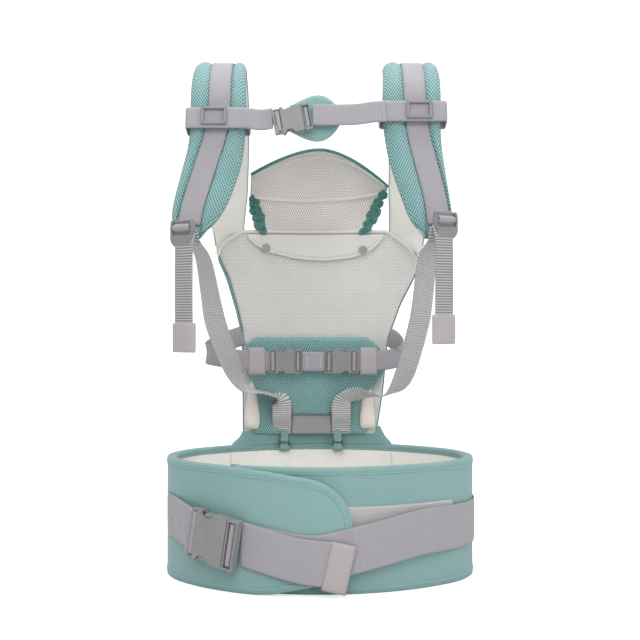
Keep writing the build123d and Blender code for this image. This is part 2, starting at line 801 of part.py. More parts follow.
def main():
    """Write every piece, moved so that the origin is under the middle of the whole."""
    os.makedirs("parts", exist_ok=True)
    for name, shape in {**belt_parts(), **panel_parts(), **strap_parts()}.items():
        export_step(Pos(0, STAND_SHIFT, 0) * shape, f"parts/{name}.step")


main()
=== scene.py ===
"""The looks of a soft baby carrier: cloth, mesh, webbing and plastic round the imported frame."""

from __future__ import annotations

import logging
from dataclasses import dataclass, field
from enum import Enum
from typing import Callable, Sequence

import bpy
import numpy as np
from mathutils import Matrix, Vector


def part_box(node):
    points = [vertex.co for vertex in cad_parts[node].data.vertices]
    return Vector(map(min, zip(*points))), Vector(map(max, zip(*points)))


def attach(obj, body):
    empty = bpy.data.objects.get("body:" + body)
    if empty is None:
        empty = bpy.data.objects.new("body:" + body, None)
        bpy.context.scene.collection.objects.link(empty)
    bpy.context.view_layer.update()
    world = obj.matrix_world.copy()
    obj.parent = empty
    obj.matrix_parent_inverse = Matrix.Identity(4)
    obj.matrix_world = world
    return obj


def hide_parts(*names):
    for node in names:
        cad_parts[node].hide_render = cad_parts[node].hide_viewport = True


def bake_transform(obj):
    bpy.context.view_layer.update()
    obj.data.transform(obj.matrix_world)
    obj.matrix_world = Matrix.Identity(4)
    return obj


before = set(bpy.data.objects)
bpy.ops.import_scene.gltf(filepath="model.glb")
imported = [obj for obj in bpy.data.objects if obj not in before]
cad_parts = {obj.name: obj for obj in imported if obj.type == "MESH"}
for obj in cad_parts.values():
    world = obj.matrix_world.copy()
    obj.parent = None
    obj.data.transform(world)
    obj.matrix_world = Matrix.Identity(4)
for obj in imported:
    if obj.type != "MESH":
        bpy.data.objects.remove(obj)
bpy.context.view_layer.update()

log = logging.getLogger("carrier")
MM = 0.001
SHIFT = 6.7 * MM
Array = np.ndarray
Relief = Callable[[Array, Array, Array], Array]


# Finishes ---------------------------------------------------------------------------------


def linear(colour: Sequence[float]) -> tuple[float, float, float, float]:
    """Turns a display colour into scene-linear red, green, blue and alpha.

    Args:
        colour: Red, green and blue as they show, from 0 to 1.

    Returns:
        The same colour in linear light, opaque.
    """
    value = np.asarray(colour, float)
    dark = value / 12.92
    light = ((value + 0.055) / 1.055) ** 2.4
    return (*np.where(value <= 0.04045, dark, light).tolist(), 1.0)


class Shader:
    """A small builder for one material's nodes."""

    def __init__(self, name: str) -> None:
        """Starts an empty material with a Principled shader.

        Args:
            name: The material's name.
        """
        self.material = bpy.data.materials.new(name)
        self.material.use_nodes = True
        self.tree = self.material.node_tree
        self.surface = self.tree.nodes["Principled BSDF"]

    def node(self, kind: str, **inputs: object) -> bpy.types.Node:
        """Adds a node and fills or links its inputs.

        Args:
            kind: The node's type name.
            **inputs: Input name, or in plus a number, to a value or an output socket.

        Returns:
            The new node.
        """
        made = self.tree.nodes.new(kind)
        for key, value in inputs.items():
            socket = made.inputs[int(key[2:])] if key[:2] == "in" and key[2:].isdigit() else made.inputs[key]
            if isinstance(value, bpy.types.NodeSocket):
                self.tree.links.new(value, socket)
            else:
                socket.default_value = value
        return made

    def maths(self, operation: str, *values: object) -> bpy.types.NodeSocket:
        """Adds a Math node on numbers or sockets and returns its output."""
        made = self.tree.nodes.new("ShaderNodeMath")
        made.operation = operation
        for socket, value in zip(made.inputs, values):
            if isinstance(value, bpy.types.NodeSocket):
                self.tree.links.new(value, socket)
            else:
                socket.default_value = value
        return made.outputs[0]

    def weave(self) -> tuple[bpy.types.NodeSocket, bpy.types.NodeSocket]:
        """Returns the cloth's own coordinates in metres: along it and across it."""
        place = self.tree.nodes.new("ShaderNodeAttribute")
        place.attribute_name = "weave"
        parts = self.node("ShaderNodeSeparateXYZ", in0=place.outputs["Vector"])
        return parts.outputs[0], parts.outputs[1]

    def wave(self, value: bpy.types.NodeSocket, pitch: float) -> bpy.types.NodeSocket:
        """Returns a sine of a length in metres that repeats every pitch, from -1 to 1."""
        return self.maths("SINE", self.maths("MULTIPLY", value, 2 * np.pi / pitch))

    def noise(self, scale: float, detail: float = 3.0) -> bpy.types.NodeSocket:
        """Returns smooth noise from 0 to 1 on the piece's own place."""
        place = self.tree.nodes.new("ShaderNodeTexCoord").outputs["Object"]
        made = self.node("ShaderNodeTexNoise", Vector=place, Scale=scale, Detail=detail)
        return made.outputs["Fac"]

    def ramp(self, value: bpy.types.NodeSocket, low: float, high: float) -> bpy.types.NodeSocket:
        """Returns value spread so that low becomes 0 and high becomes 1, kept between them."""
        made = self.node("ShaderNodeMapRange", in0=value, in1=low, in2=high)
        return made.outputs[0]

    def mix(self, factor: bpy.types.NodeSocket, first: Sequence[float], second: Sequence[float]) -> bpy.types.NodeSocket:
        """Returns a colour between two display colours."""
        made = self.tree.nodes.new("ShaderNodeMix")
        made.data_type = "RGBA"
        self.tree.links.new(factor, made.inputs[0])
        made.inputs[6].default_value = linear(first)
        made.inputs[7].default_value = linear(second)
        return made.outputs[2]

    def shade(self, colour: bpy.types.NodeSocket, value: bpy.types.NodeSocket, depth: float) -> bpy.types.NodeSocket:
        """Returns colour darkened and lightened a little by a value from 0 to 1."""
        amount = self.maths("ADD", self.maths("MULTIPLY", value, depth), 1 - depth / 2)
        made = self.tree.nodes.new("ShaderNodeMix")
        made.data_type = "RGBA"
        made.blend_type = "MULTIPLY"
        made.inputs[0].default_value = 1.0
        self.tree.links.new(colour, made.inputs[6])
        grey = self.node("ShaderNodeCombineColor", in0=amount, in1=amount, in2=amount)
        self.tree.links.new(grey.outputs[0], made.inputs[7])
        return made.outputs[2]

    def finish(
        self,
        colour: bpy.types.NodeSocket,
        height: bpy.types.NodeSocket,
        depth: float,
        roughness: float,
        sheen: float = 0.0,
    ) -> bpy.types.Material:
        """Joins colour and height to the surface.

        Args:
            colour: The base colour's socket.
            height: The relief's socket, from 0 to 1.
            depth: The relief's depth in metres.
            roughness: The surface's roughness.
            sheen: The strength of the cloth's sheen.

        Returns:
            The finished material.
        """
        bump = self.node("ShaderNodeBump", Height=height, Distance=depth, Strength=1.0)
        self.tree.links.new(colour, self.surface.inputs["Base Color"])
        self.tree.links.new(bump.outputs[0], self.surface.inputs["Normal"])
        self.surface.inputs["Roughness"].default_value = roughness
        self.surface.inputs["Sheen Weight"].default_value = sheen
        self.surface.inputs["Sheen Roughness"].default_value = 0.5
        return self.material


@dataclass(frozen=True)
class PlainCloth:
    """Closely woven cloth, with threads that cross and a soft change of tone."""

    name: str
    colour: tuple[float, float, float]
    thread: float = 0.9 * MM

    def build(self) -> bpy.types.Material:
        """Makes the material: a product of two sines is the weave."""
        shader = Shader(self.name)
        along, across = shader.weave()
        weave = shader.maths("MULTIPLY", shader.wave(along, self.thread), shader.wave(across, self.thread))
        height = shader.maths("MULTIPLY_ADD", weave, 0.5, 0.5)
        tone = shader.mix(height, [c * 0.95 for c in self.colour], [min(1, c * 1.04) for c in self.colour])
        tone = shader.shade(tone, shader.noise(14), 0.12)
        return shader.finish(tone, height, 0.12 * MM, 0.85, 0.25)


@dataclass(frozen=True)
class SpacerMesh:
    """Thick knitted mesh: diagonal strands round small dark holes."""

    name: str
    strand: tuple[float, float, float]
    hole: tuple[float, float, float]
    pitch: float = 4.6 * MM
    open_share: float = 0.5
    depth: float = 0.7 * MM
    soft: float = 0.28

    def build(self) -> bpy.types.Material:
        """Makes the material: holes are where the sines along both diagonals are large."""
        shader = Shader(self.name)
        along, across = shader.weave()
        wide = shader.maths("MULTIPLY", across, 1.5)
        first = shader.maths("ABSOLUTE", shader.wave(shader.maths("ADD", along, wide), 2 * self.pitch))
        second = shader.maths("ABSOLUTE", shader.wave(shader.maths("SUBTRACT", along, wide), 2 * self.pitch))
        cell = shader.maths("MULTIPLY", first, second)
        strand = shader.ramp(cell, self.open_share + self.soft, self.open_share - self.soft)
        thread = shader.maths("MULTIPLY_ADD", shader.wave(along, 0.8 * MM), 0.12, strand)
        tone = shader.mix(strand, self.hole, self.strand)
        tone = shader.shade(tone, shader.noise(40), 0.16)
        return shader.finish(tone, thread, self.depth, 0.75, 0.3)


@dataclass(frozen=True)
class Webbing:
    """Woven strap: ribs across it over fine threads along it."""

    name: str
    colour: tuple[float, float, float]
    rib: float = 1.3 * MM
    contrast: float = 0.1

    def build(self) -> bpy.types.Material:
        """Makes the material: a sine along the strap is the ribs, one across it the threads."""
        shader = Shader(self.name)
        along, across = shader.weave()
        ribs = shader.maths("MULTIPLY_ADD", shader.wave(along, self.rib), 0.5, 0.5)
        threads = shader.maths("MULTIPLY_ADD", shader.wave(across, 1.1 * MM), 0.5, 0.5)
        height = shader.maths("MULTIPLY_ADD", threads, 0.3, shader.maths("MULTIPLY", ribs, 0.7))
        dark = [c * (1 - self.contrast) for c in self.colour]
        light = [min(1, c * (1 + self.contrast / 2)) for c in self.colour]
        tone = shader.shade(shader.mix(height, dark, light), shader.noise(60), 0.1)
        return shader.finish(tone, height, (0.15 + self.contrast) * MM, 0.7, 0.15)


@dataclass(frozen=True)
class Moulded:
    """Moulded plastic with a fine spark texture and worn, lighter patches."""

    name: str
    colour: tuple[float, float, float]
    roughness: float = 0.42

    def build(self) -> bpy.types.Material:
        """Makes the material from two noises: fine grain for relief and broad for tone."""
        shader = Shader(self.name)
        grain = shader.noise(2600, 2)
        tone = shader.mix(shader.noise(90), [c * 0.93 for c in self.colour], [c * 1.06 for c in self.colour])
        shader.surface.inputs["Specular IOR Level"].default_value = 0.4
        return shader.finish(tone, grain, 0.05 * MM, self.roughness)


@dataclass(frozen=True)
class Brushed:
    """Loop fastener: short fibres that stand in clumps."""

    name: str
    colour: tuple[float, float, float]

    def build(self) -> bpy.types.Material:
        """Makes the material from fine noise over a faint row pattern."""
        shader = Shader(self.name)
        along, _ = shader.weave()
        rows = shader.maths("MULTIPLY_ADD", shader.wave(along, 2.2 * MM), 0.08, shader.noise(900, 5))
        tone = shader.mix(rows, [c * 0.88 for c in self.colour], [min(1, c * 1.08) for c in self.colour])
        return shader.finish(tone, rows, 0.5 * MM, 0.95, 0.5)


class Look(Enum):
    """The carrier's finishes, each with the record's slot that it belongs to."""

    TEAL_CLOTH = (PlainCloth("teal_cloth", (0.51, 0.65, 0.645)), "smooth_cloth")
    TEAL_BINDING = (PlainCloth("teal_binding", (0.485, 0.63, 0.625), 0.7 * MM), "smooth_cloth")
    FOOT_CLOTH = (PlainCloth("teal_foot_cloth", (0.47, 0.62, 0.615), 0.9 * MM), "smooth_cloth")
    DARK_TEAL = (PlainCloth("dark_teal_elastic", (0.27, 0.48, 0.46), 1.4 * MM), "hood_cloth")
    TEAL_MESH = (SpacerMesh("teal_spacer_mesh", (0.60, 0.785, 0.785), (0.22, 0.39, 0.39)), "spacer_mesh")
    CREAM_MESH = (
        SpacerMesh("cream_mesh", (0.875, 0.867, 0.857), (0.42, 0.415, 0.41), 3.7 * MM, 0.78, 0.3 * MM, 0.12),
        "lining_mesh",
    )
    CREAM_CLOTH = (PlainCloth("cream_cloth", (0.905, 0.90, 0.87), 1.1 * MM), "lining_mesh")
    # A darker copy of cream_cloth: painted shade on the panel's top welt, the neck facing and its hem.
    NECK_CLOTH = (PlainCloth("cream_cloth_painted_shade", (0.85, 0.84, 0.82), 1.1 * MM), "lining_mesh")
    WARM_CLOTH = (PlainCloth("warm_cream_cloth", (0.92, 0.89, 0.855), 1.1 * MM), "lining_mesh")
    # Pale lining mesh raised near white to make up for the shade inside the belt: its own pale colour, and partly
    # painted light.
    BELT_LINING = (
        SpacerMesh("belt_lining_mesh_painted_light", (0.99, 0.985, 0.965), (0.84, 0.82, 0.79), 3.6 * MM, 0.78, 0.25 * MM, 0.12),
        "belt_lining",
    )
    HOOD_CLOTH = (
        SpacerMesh("hood_mesh", (0.90, 0.88, 0.865), (0.30, 0.29, 0.28), 4.8 * MM, 0.76, 0.2 * MM, 0.10),
        "hood_cloth",
    )
    HOOD_BAND = (PlainCloth("hood_band_cloth", (0.88, 0.865, 0.84), 0.9 * MM), "hood_cloth")
    WEBBING = (Webbing("grey_webbing", (0.625, 0.615, 0.635)), "webbing")
    RIBBED = (Webbing("ribbed_webbing", (0.75, 0.75, 0.755), 2.9 * MM, 0.42), "webbing")
    # The same ribbed webbing as ribbed_webbing, darker: painted shade for the hanging tails.
    RIBBED_TAIL = (Webbing("ribbed_webbing_painted_shade", (0.625, 0.625, 0.63), 2.9 * MM, 0.42), "webbing")
    KEEPER = (Webbing("ribbed_elastic", (0.685, 0.66, 0.66), 1.0 * MM, 0.08), "keeper_elastic")
    LOOPS = (Brushed("loop_pile", (0.715, 0.71, 0.71)), "loop_fastener")
    HOOKS = (Brushed("hook_pile", (0.60, 0.60, 0.59)), "hook_fastener")
    PLASTIC = (Moulded("grey_acetal", (0.52, 0.52, 0.525)), "buckle_plastic")
    DARK_PLASTIC = (Moulded("dark_acetal", (0.30, 0.31, 0.31)), "dark_plastic")
    SNAP = (Moulded("snap_cap", (0.60, 0.60, 0.58), 0.3), "snap")
    THREAD = (Moulded("teal_thread", (0.72, 0.83, 0.82), 0.6), "smooth_cloth")
    GREY_THREAD = (Moulded("grey_thread", (0.66, 0.655, 0.665), 0.6), "webbing")
    PALE_THREAD = (Moulded("pale_thread", (0.78, 0.78, 0.78), 0.6), "webbing")

    def material(self) -> bpy.types.Material:
        """Returns the finish's material, made on first use."""
        finish = self.value[0]
        return bpy.data.materials.get(finish.name) or finish.build()


# Mesh tools -------------------------------------------------------------------------------


def unit(vectors: Array) -> Array:
    """Returns vectors scaled to length 1 along the last axis."""
    return vectors / np.linalg.norm(vectors, axis=-1, keepdims=True)


def arc(centre: Sequence[float], radius: float, start: float, end: float, step: float = 3 * MM) -> Array:
    """Points of a level arc: centre plus radius times the cosine and sine of the angle.

    Args:
        centre: The arc's centre in plan.
        radius: Its radius.
        start: Its first angle in degrees.
        end: Its last angle in degrees.
        step: The rough distance between points.

    Returns:
        An array of points in plan.
    """
    count = max(3, int(abs(np.radians(end - start)) * radius / step) + 2)
    angle = np.radians(np.linspace(start, end, count))
    return np.column_stack([centre[0] + radius * np.cos(angle), centre[1] + radius * np.sin(angle)])


def curve(points: Sequence[Sequence[float]], count: int) -> Array:
    """A smooth line through points: cubic pieces whose slopes are half the neighbours' distance,
    spaced evenly along its length.

    Args:
        points: The places it passes.
        count: How many points to return.

    Returns:
        An array of count points.
    """
    ends = np.asarray(points, float)
    ends = np.vstack([2 * ends[0] - ends[1], ends, 2 * ends[-1] - ends[-2]])
    t = np.linspace(0, len(ends) - 3 - 1e-9, 40 * (len(ends) - 3))
    i = t.astype(int)
    f = (t - i)[:, None]
    a, b, c, d = ends[i], ends[i + 1], ends[i + 2], ends[i + 3]
    fine = 0.5 * (2 * b + (c - a) * f + (2 * a - 5 * b + 4 * c - d) * f**2 + (3 * b - a - 3 * c + d) * f**3)
    return even(fine, count)


def even(points: Array, count: int) -> Array:
    """Returns count points spaced evenly along a polyline."""
    run = np.concatenate([[0], np.cumsum(np.linalg.norm(np.diff(points, axis=0), axis=1))])
    places = np.linspace(0, run[-1], count)
    return np.column_stack([np.interp(places, run, points[:, k]) for k in range(points.shape[1])])


def length_along(points: Array) -> Array:
    """Returns each point's distance from the first along the polyline."""
    return np.concatenate([[0], np.cumsum(np.linalg.norm(np.diff(points, axis=0), axis=1))])


def make_piece(
    name: str,
    points: Array,
    faces: Array,
    look: Look,
    body: str,
    weave: Array | None = None,
    replaces: Sequence[str] = (),
) -> bpy.types.Object:
    """Makes a mesh object that rides on a body.

    Args:
        name: The piece's name.
        points: Vertices, in metres.
        faces: Rows of four vertex numbers.
        look: Its finish.
        body: The body that carries it, or nothing for a piece left unattached.
        weave: The cloth's own coordinates for each vertex.
        replaces: The nodes that it stands for.

    Returns:
        The object.
    """
    points = np.asarray(points, float)
    faces = np.asarray(faces, int)
    corner = points[faces]
    first = np.cross(corner[:, 1] - corner[:, 0], corner[:, 2] - corner[:, 0])
    second = np.cross(corner[:, 2] - corner[:, 0], corner[:, 3] - corner[:, 0])
    volume = (corner[:, 0] * (first + second)).sum()
    if volume < 0:
        faces = faces[:, ::-1]
    mesh = bpy.data.meshes.new(name)
    mesh.from_pydata(points.tolist(), [], faces.tolist())
    if weave is not None:
        mesh.attributes.new("weave", "FLOAT_VECTOR", "POINT").data.foreach_set("vector", weave.ravel())
    mesh.shade_smooth()
    mesh.materials.append(look.material())
    piece = bpy.data.objects.new(name, mesh)
    bpy.context.scene.collection.objects.link(piece)
    if body:
        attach(piece, body)
    if replaces:
        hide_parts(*replaces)
    log.info("made %s on %s with %d faces", name, body, len(faces))
    return piece


@dataclass
class Sweep:
    """A closed cross-section carried along a path: at each place the section is a flat oval,
    half_width across it and half_thick high, with height (1 - |c|^power)^(1/power) at the
    share c of the half width. heading says which parts of the path's direction count, so that
    a sheet's sections can stay parallel."""

    path: Array
    across: Array
    half_width: Array | float
    half_thick: Array | float
    power: float = 6.0
    columns: int = 12
    closed: bool = False
    round_ends: float = 0.0
    relief: Relief | None = None
    heading: tuple[float, float, float] = (1.0, 1.0, 1.0)

    def rings(self) -> tuple[Array, Array]:
        """Works out the section at every place of the path.

        Returns:
            The points as (places, section, 3) and the cloth's own coordinates, alike.
        """
        path = np.asarray(self.path, float)
        count = len(path)
        if self.closed:
            ahead = unit(np.roll(path, -1, 0) - np.roll(path, 1, 0))
        else:
            ahead = unit(np.gradient(path, axis=0))
        ahead = unit(ahead * np.array(self.heading))
        across = np.broadcast_to(np.asarray(self.across, float), path.shape)
        rise = unit(np.cross(ahead, across))
        across = np.cross(rise, ahead)
        t = np.linspace(-1, 1, self.columns + 1)
        share = 0.35 * t + 0.65 * np.sin(t * np.pi / 2)
        height = (1 - np.abs(share) ** self.power).clip(0) ** (1 / self.power)
        c = np.concatenate([share, share[-2:0:-1]])
        h = np.concatenate([height, -height[-2:0:-1]])
        wide = np.broadcast_to(self.half_width, count)[:, None]
        thick = np.broadcast_to(self.half_thick, count)[:, None].copy()
        run = length_along(path)
        if self.round_ends and not self.closed:
            edge = np.minimum(run, run[-1] - run) / self.round_ends
            thick = thick * np.sqrt(1 - (1 - edge.clip(0.06, 1)) ** 2)[:, None]
        along = np.broadcast_to(run[:, None], (count, len(c)))
        side = np.broadcast_to(np.sign(h), (count, len(c)))
        offset = thick * h
        if self.relief:
            offset = offset + self.relief(along, np.broadcast_to(c, along.shape), side)
        points = path[:, None] + across[:, None] * (wide * c)[..., None] + rise[:, None] * offset[..., None]
        return points, np.stack([along, wide * c, side], axis=-1)

    def build(
        self, name: str, look: Look, body: str, replaces: Sequence[str] = (), inside: Look | None = None
    ) -> bpy.types.Object:
        """Makes the swept piece.

        Args:
            name: The piece's name.
            look: The finish of its face, and of all of it without inside.
            body: The body that carries it.
            replaces: The nodes that it stands for.
            inside: The finish of its back.

        Returns:
            The object.
        """
        points, weave = self.rings()
        count, around = points.shape[:2]
        faces = grid_faces(count, around, self.closed)
        if not self.closed:
            k = self.columns
            i = np.arange(k)
            far = (around - i) % around
            near = (around - i - 1) % around
            cap = np.column_stack([i, i + 1, near, far])
            cap[-1, 2] = k
            caps = cap[1:-1]
            ends = np.array([[0, 1, around - 1, 0], [k - 1, k, k + 1, k - 1]])
            caps = np.vstack([caps, ends])
            faces = np.vstack([faces, caps[:, ::-1], caps + (count - 1) * around])
        piece = make_swept(name, points, weave, faces, look, body, replaces)
        if inside is not None:
            piece.data.materials.append(inside.material())
            back = weave[..., 2].reshape(-1)[np.asarray(faces)].mean(axis=1) < 0
            piece.data.polygons.foreach_set("material_index", back.astype(np.int32))
        return piece


def grid_faces(rows: int, columns: int, closed: bool) -> Array:
    """Quads between neighbouring rows of a grid whose columns wrap round."""
    i = np.arange(rows if closed else rows - 1)[:, None]
    j = np.arange(columns)[None]
    here, there = i * columns, ((i + 1) % rows) * columns
    ahead = (j + 1) % columns
    return np.stack([here + j, here + ahead, there + ahead, there + j], axis=-1).reshape(-1, 4)


def make_swept(
    name: str, points: Array, weave: Array, faces: Array, look: Look, body: str, replaces: Sequence[str]
) -> bpy.types.Object:
    """Makes a swept piece, with end triangles written as three corners."""
    flat = points.reshape(-1, 3)
    corner = flat[faces]
    first = np.cross(corner[:, 1] - corner[:, 0], corner[:, 2] - corner[:, 0])
    second = np.cross(corner[:, 2] - corner[:, 0], corner[:, 3] - corner[:, 0])
    if ((corner[:, 0] - flat.mean(axis=0)) * (first + second)).sum() < 0:
        faces = faces[:, ::-1]
    rows = [list(dict.fromkeys(face)) for face in faces.tolist()]
    mesh = bpy.data.meshes.new(name)
    mesh.from_pydata(flat.tolist(), [], rows)
    mesh.attributes.new("weave", "FLOAT_VECTOR", "POINT").data.foreach_set("vector", weave.reshape(-1, 3).ravel())
    mesh.shade_smooth()
    mesh.materials.append(look.material())
    piece = bpy.data.objects.new(name, mesh)
    bpy.context.scene.collection.objects.link(piece)
    if body:
        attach(piece, body)
    if replaces:
        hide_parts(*replaces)
    log.info("made %s on %s with %d faces", name, body, len(rows))
    return piece


def make_shell(
    name: str, front: Array, back: Array, look: Look, body: str, replaces: Sequence[str] = (), inside: Look | None = None
) -> bpy.types.Object:
    """Makes a closed shell from two grids of places that lie one behind the other.

    Args:
        name: The piece's name.
        front: The front's places, as (rows, columns, 3).
        back: The back's places, alike.
        look: The back's finish, and the front's too without inside.
        body: The body that carries it.
        replaces: The nodes that it stands for.
        inside: The front's finish.

    Returns:
        The object.
    """
    rows, columns = front.shape[:2]
    points = np.concatenate([front, back[:, ::-1]], axis=1)
    up = np.linalg.norm(np.diff(front[:, columns // 2], axis=0), axis=1)
    along = np.concatenate([[0], np.cumsum(up)])[:, None] * np.ones(columns)
    across = np.cumsum(np.linalg.norm(np.diff(front, axis=1, prepend=front[:, :1]), axis=2), axis=1)
    weave = np.stack([along, across - across[:, -1:] / 2, np.ones_like(along)], axis=-1)
    weave = np.concatenate([weave, weave[:, ::-1] * [1, 1, -1]], axis=1)
    faces = grid_faces(rows, 2 * columns, False)
    j = np.arange(columns - 1)
    cap = np.column_stack([j, j + 1, 2 * columns - 2 - j, 2 * columns - 1 - j])
    faces = np.vstack([faces, cap[:, ::-1], cap + (rows - 1) * 2 * columns])
    piece = make_piece(name, points.reshape(-1, 3), faces, look, body, weave.reshape(-1, 3), replaces)
    if inside is not None:
        piece.data.materials.append(inside.material())
        corners = np.empty(len(piece.data.loops), np.int32)
        piece.data.loops.foreach_get("vertex_index", corners)
        ahead = weave.reshape(-1, 3)[corners.reshape(-1, 4), 2].mean(axis=1) > 0
        piece.data.polygons.foreach_set("material_index", ahead.astype(np.int32))
    return piece


def stitches(
    name: str, path: Array, out: Array, look: Look, body: str, stitch: float = 2.6 * MM, gap: float = 1.2 * MM,
    radius: float = 0.32 * MM,
) -> bpy.types.Object:
    """A row of stitches: each is a six-sided bar with narrow ends, laid along the path.

    Args:
        name: The row's name.
        path: The line that it follows.
        out: The direction away from the cloth, one for each point or one for all.
        look: The thread's finish.
        body: The body that carries it.
        stitch: The length of one stitch.
        gap: The space between two.
        radius: The thread's radius.

    Returns:
        The object.
    """
    run = length_along(path)
    starts = np.arange(0, run[-1] - stitch, stitch + gap)
    share = np.array([0.0, 0.25, 0.75, 1.0])
    swell = np.array([0.35, 1.0, 1.0, 0.35])
    places = starts[:, None] + share * stitch
    middle = np.stack([np.interp(places, run, path[:, k]) for k in range(3)], axis=-1)
    out = np.broadcast_to(out, path.shape)
    lift = unit(np.stack([np.interp(places, run, out[:, k]) for k in range(3)], axis=-1))
    ahead = unit(middle[:, -1:] - middle[:, :1])
    side = np.cross(ahead, lift)
    angle = np.arange(6) * np.pi / 3
    ring = np.cos(angle)[:, None] * side[:, :, None] + np.sin(angle)[:, None] * lift[:, :, None]
    points = middle[:, :, None] + radius * swell[:, None, None] * ring
    quads = grid_faces(4, 6, False)
    caps = np.array([[0, 1, 2, 3], [0, 3, 4, 5], [21, 20, 19, 18], [23, 22, 21, 18]])
    one = np.vstack([quads, caps[:, ::-1]])
    faces = (np.arange(len(starts))[:, None, None] * 24 + one).reshape(-1, 4)
    weave = np.zeros((points.size // 3, 3))
    return make_piece(name, points.reshape(-1, 3), faces, look, body, weave)


@dataclass(frozen=True)
class Plane:
    """A place and three directions that a flat or moulded piece is built in."""

    origin: Array
    x: Array
    y: Array
    z: Array

    def out(self, points: Array) -> Array:
        """Returns points given in this plane's own axes in the carrier's axes."""
        return self.origin + points[..., :1] * self.x + points[..., 1:2] * self.y + points[..., 2:] * self.z

    def moved(self, x: float = 0, y: float = 0, z: float = 0) -> Plane:
        """Returns the same plane moved along its own axes."""
        return Plane(self.out(np.array([x, y, z])), self.x, self.y, self.z)

    def turned(self, degrees: float) -> Plane:
        """Returns the same plane turned about its own z."""
        a = np.radians(degrees)
        x = self.x * np.cos(a) + self.y * np.sin(a)
        return Plane(self.origin, x, np.cross(self.z, x), self.z)


@dataclass
class Moulding:
    """A moulded piece: plates with rounded corners, joined in one mesh and bevelled."""

    name: str
    plane: Plane
    bevel: float = 0.6 * MM
    shells: list[tuple[Array, Array]] = field(default_factory=list)

    def plate(self, low: Sequence[float], high: Sequence[float], corner: float = 0.0) -> Moulding:
        """Adds a box between two corners; its outline's corners are quarter circles.

        Args:
            low: The lowest x, y and z, in the piece's own plane.
            high: The highest.
            corner: The radius of the outline's corners.

        Returns:
            The moulding.
        """
        steps = 5 if corner else 1
        angle = np.radians(np.linspace(0, 90, steps)) if corner else np.array([0.0])
        outline = []
        for k, (x, y) in enumerate(((high[0], high[1]), (low[0], high[1]), (low[0], low[1]), (high[0], low[1]))):
            inward = np.array([(-1, -1), (1, -1), (1, 1), (-1, 1)][k]) * corner
            turn = angle + k * np.pi / 2
            outline.append(np.array([x, y]) + inward + corner * np.column_stack([np.cos(turn), np.sin(turn)]))
        return self.outline(np.vstack(outline), low[2], high[2])

    def outline(self, points: Array, low: float, high: float) -> Moulding:
        """Adds a plate of any outline between two heights, turned so that its faces point out."""
        ahead = np.roll(points, -1, axis=0)
        if (points[:, 0] * ahead[:, 1] - ahead[:, 0] * points[:, 1]).sum() < 0:
            points = points[::-1]
        count = len(points)
        bottom = np.column_stack([points, np.full(count, low)])
        top = np.column_stack([points, np.full(count, high)])
        self.shells.append((np.vstack([bottom, top]), np.arange(count)))
        return self

    def build(self, look: Look, body: str, replaces: Sequence[str] = ()) -> bpy.types.Object:
        """Makes the moulding."""
        points, faces, base = [], [], 0
        for shell, order in self.shells:
            count = len(order)
            points.append(self.plane.out(shell))
            ahead = np.roll(order, -1)
            faces += np.column_stack([order, ahead, ahead + count, order + count]).__add__(base).tolist()
            faces += [(order[::-1] + base).tolist(), (order + count + base).tolist()]
            base += 2 * count
        mesh = bpy.data.meshes.new(self.name)
        mesh.from_pydata(np.vstack(points).tolist(), [], faces)
        mesh.shade_smooth()
        mesh.materials.append(look.material())
        piece = bpy.data.objects.new(self.name, mesh)
        bpy.context.scene.collection.objects.link(piece)
        edge = piece.modifiers.new("edge", "BEVEL")
        edge.width = self.bevel
        edge.segments = 2
        edge.limit_method = "ANGLE"
        edge.harden_normals = True
        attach(piece, body)
        if replaces:
            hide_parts(*replaces)
        log.info("moulded %s on %s from %d plates", self.name, body, len(self.shells))
        return piece


# Places in the carrier ----------------------------------------------------------------------


def place(points: Sequence[Sequence[float]] | Array) -> Array:
    """Turns carrier drawing places in millimetres into frame places in metres."""
    return np.asarray(points, float) * MM + np.array([0, SHIFT, 0])


def between(value: Array | float, pairs: Sequence[tuple[float, float]]) -> Array:
    """Straight-line look-up of value in pairs of (place, amount), sorted by place first."""
    ordered = np.array(sorted(pairs))
    return np.interp(value, ordered[:, 0], ordered[:, 1])


def smooth(values: Array, reach: int) -> Array:
    """Running mean over 2 * reach + 1 neighbours, with the ends held."""
    held = np.concatenate([np.full(reach, values[0]), values, np.full(reach, values[-1])])
    return np.convolve(held, np.ones(2 * reach + 1) / (2 * reach + 1), "valid")


def ripple(along: Array, across: Array, seed: int, scale: float) -> Array:
    """Soft uneven cloth: six crossed sines of seeded direction, length and phase, from -1 to 1.

    Args:
        along: Places along the cloth in metres.
        across: Places across it in metres.
        seed: The number that fixes the pattern.
        scale: The usual length of a wave in metres.

    Returns:
        The pattern at each place.
    """
    draw = np.random.default_rng(seed)
    total = np.zeros(np.broadcast(along, across).shape)
    for turn, size, phase in zip(draw.uniform(0, np.pi, 6), draw.uniform(0.6, 1.6, 6), draw.uniform(0, 6.3, 6)):
        wave = 2 * np.pi / (scale * size)
        total += np.sin(wave * (np.cos(turn) * along + np.sin(turn) * across) + phase)
    return total / 6


def dress(node: str, look: Look) -> None:
    """Gives a frame node's object a finish in place of its plain one."""
    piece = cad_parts[node]
    if not piece.material_slots:
        piece.data.materials.append(look.material())
    for slot in piece.material_slots:
        slot.material = look.material()
    log.info("dressed %s as %s", node, look.name)


def waist_buckle_plane() -> Plane:
    """The waist buckle's back plane: tangent to the flap, sloping down to the right, with the
    socket's mouth at x = 0."""
    x, slope, lift, middle = -111.0, np.radians(-10), 4.6, 17.5
    y = 84.3 - np.sqrt(215.35**2 - x**2)
    out = unit(np.array([x, y - 84.3, 0.0]))
    level = np.array([-out[1], out[0], 0.0])
    along = level * np.cos(slope) + np.array([0, 0, 1.0]) * np.sin(slope)
    origin = place([x, y, 59.5]) + (lift * out + middle * along) * MM
    return Plane(origin, along, np.cross(out, along), out)


# Belt ---------------------------------------------------------------------------------------


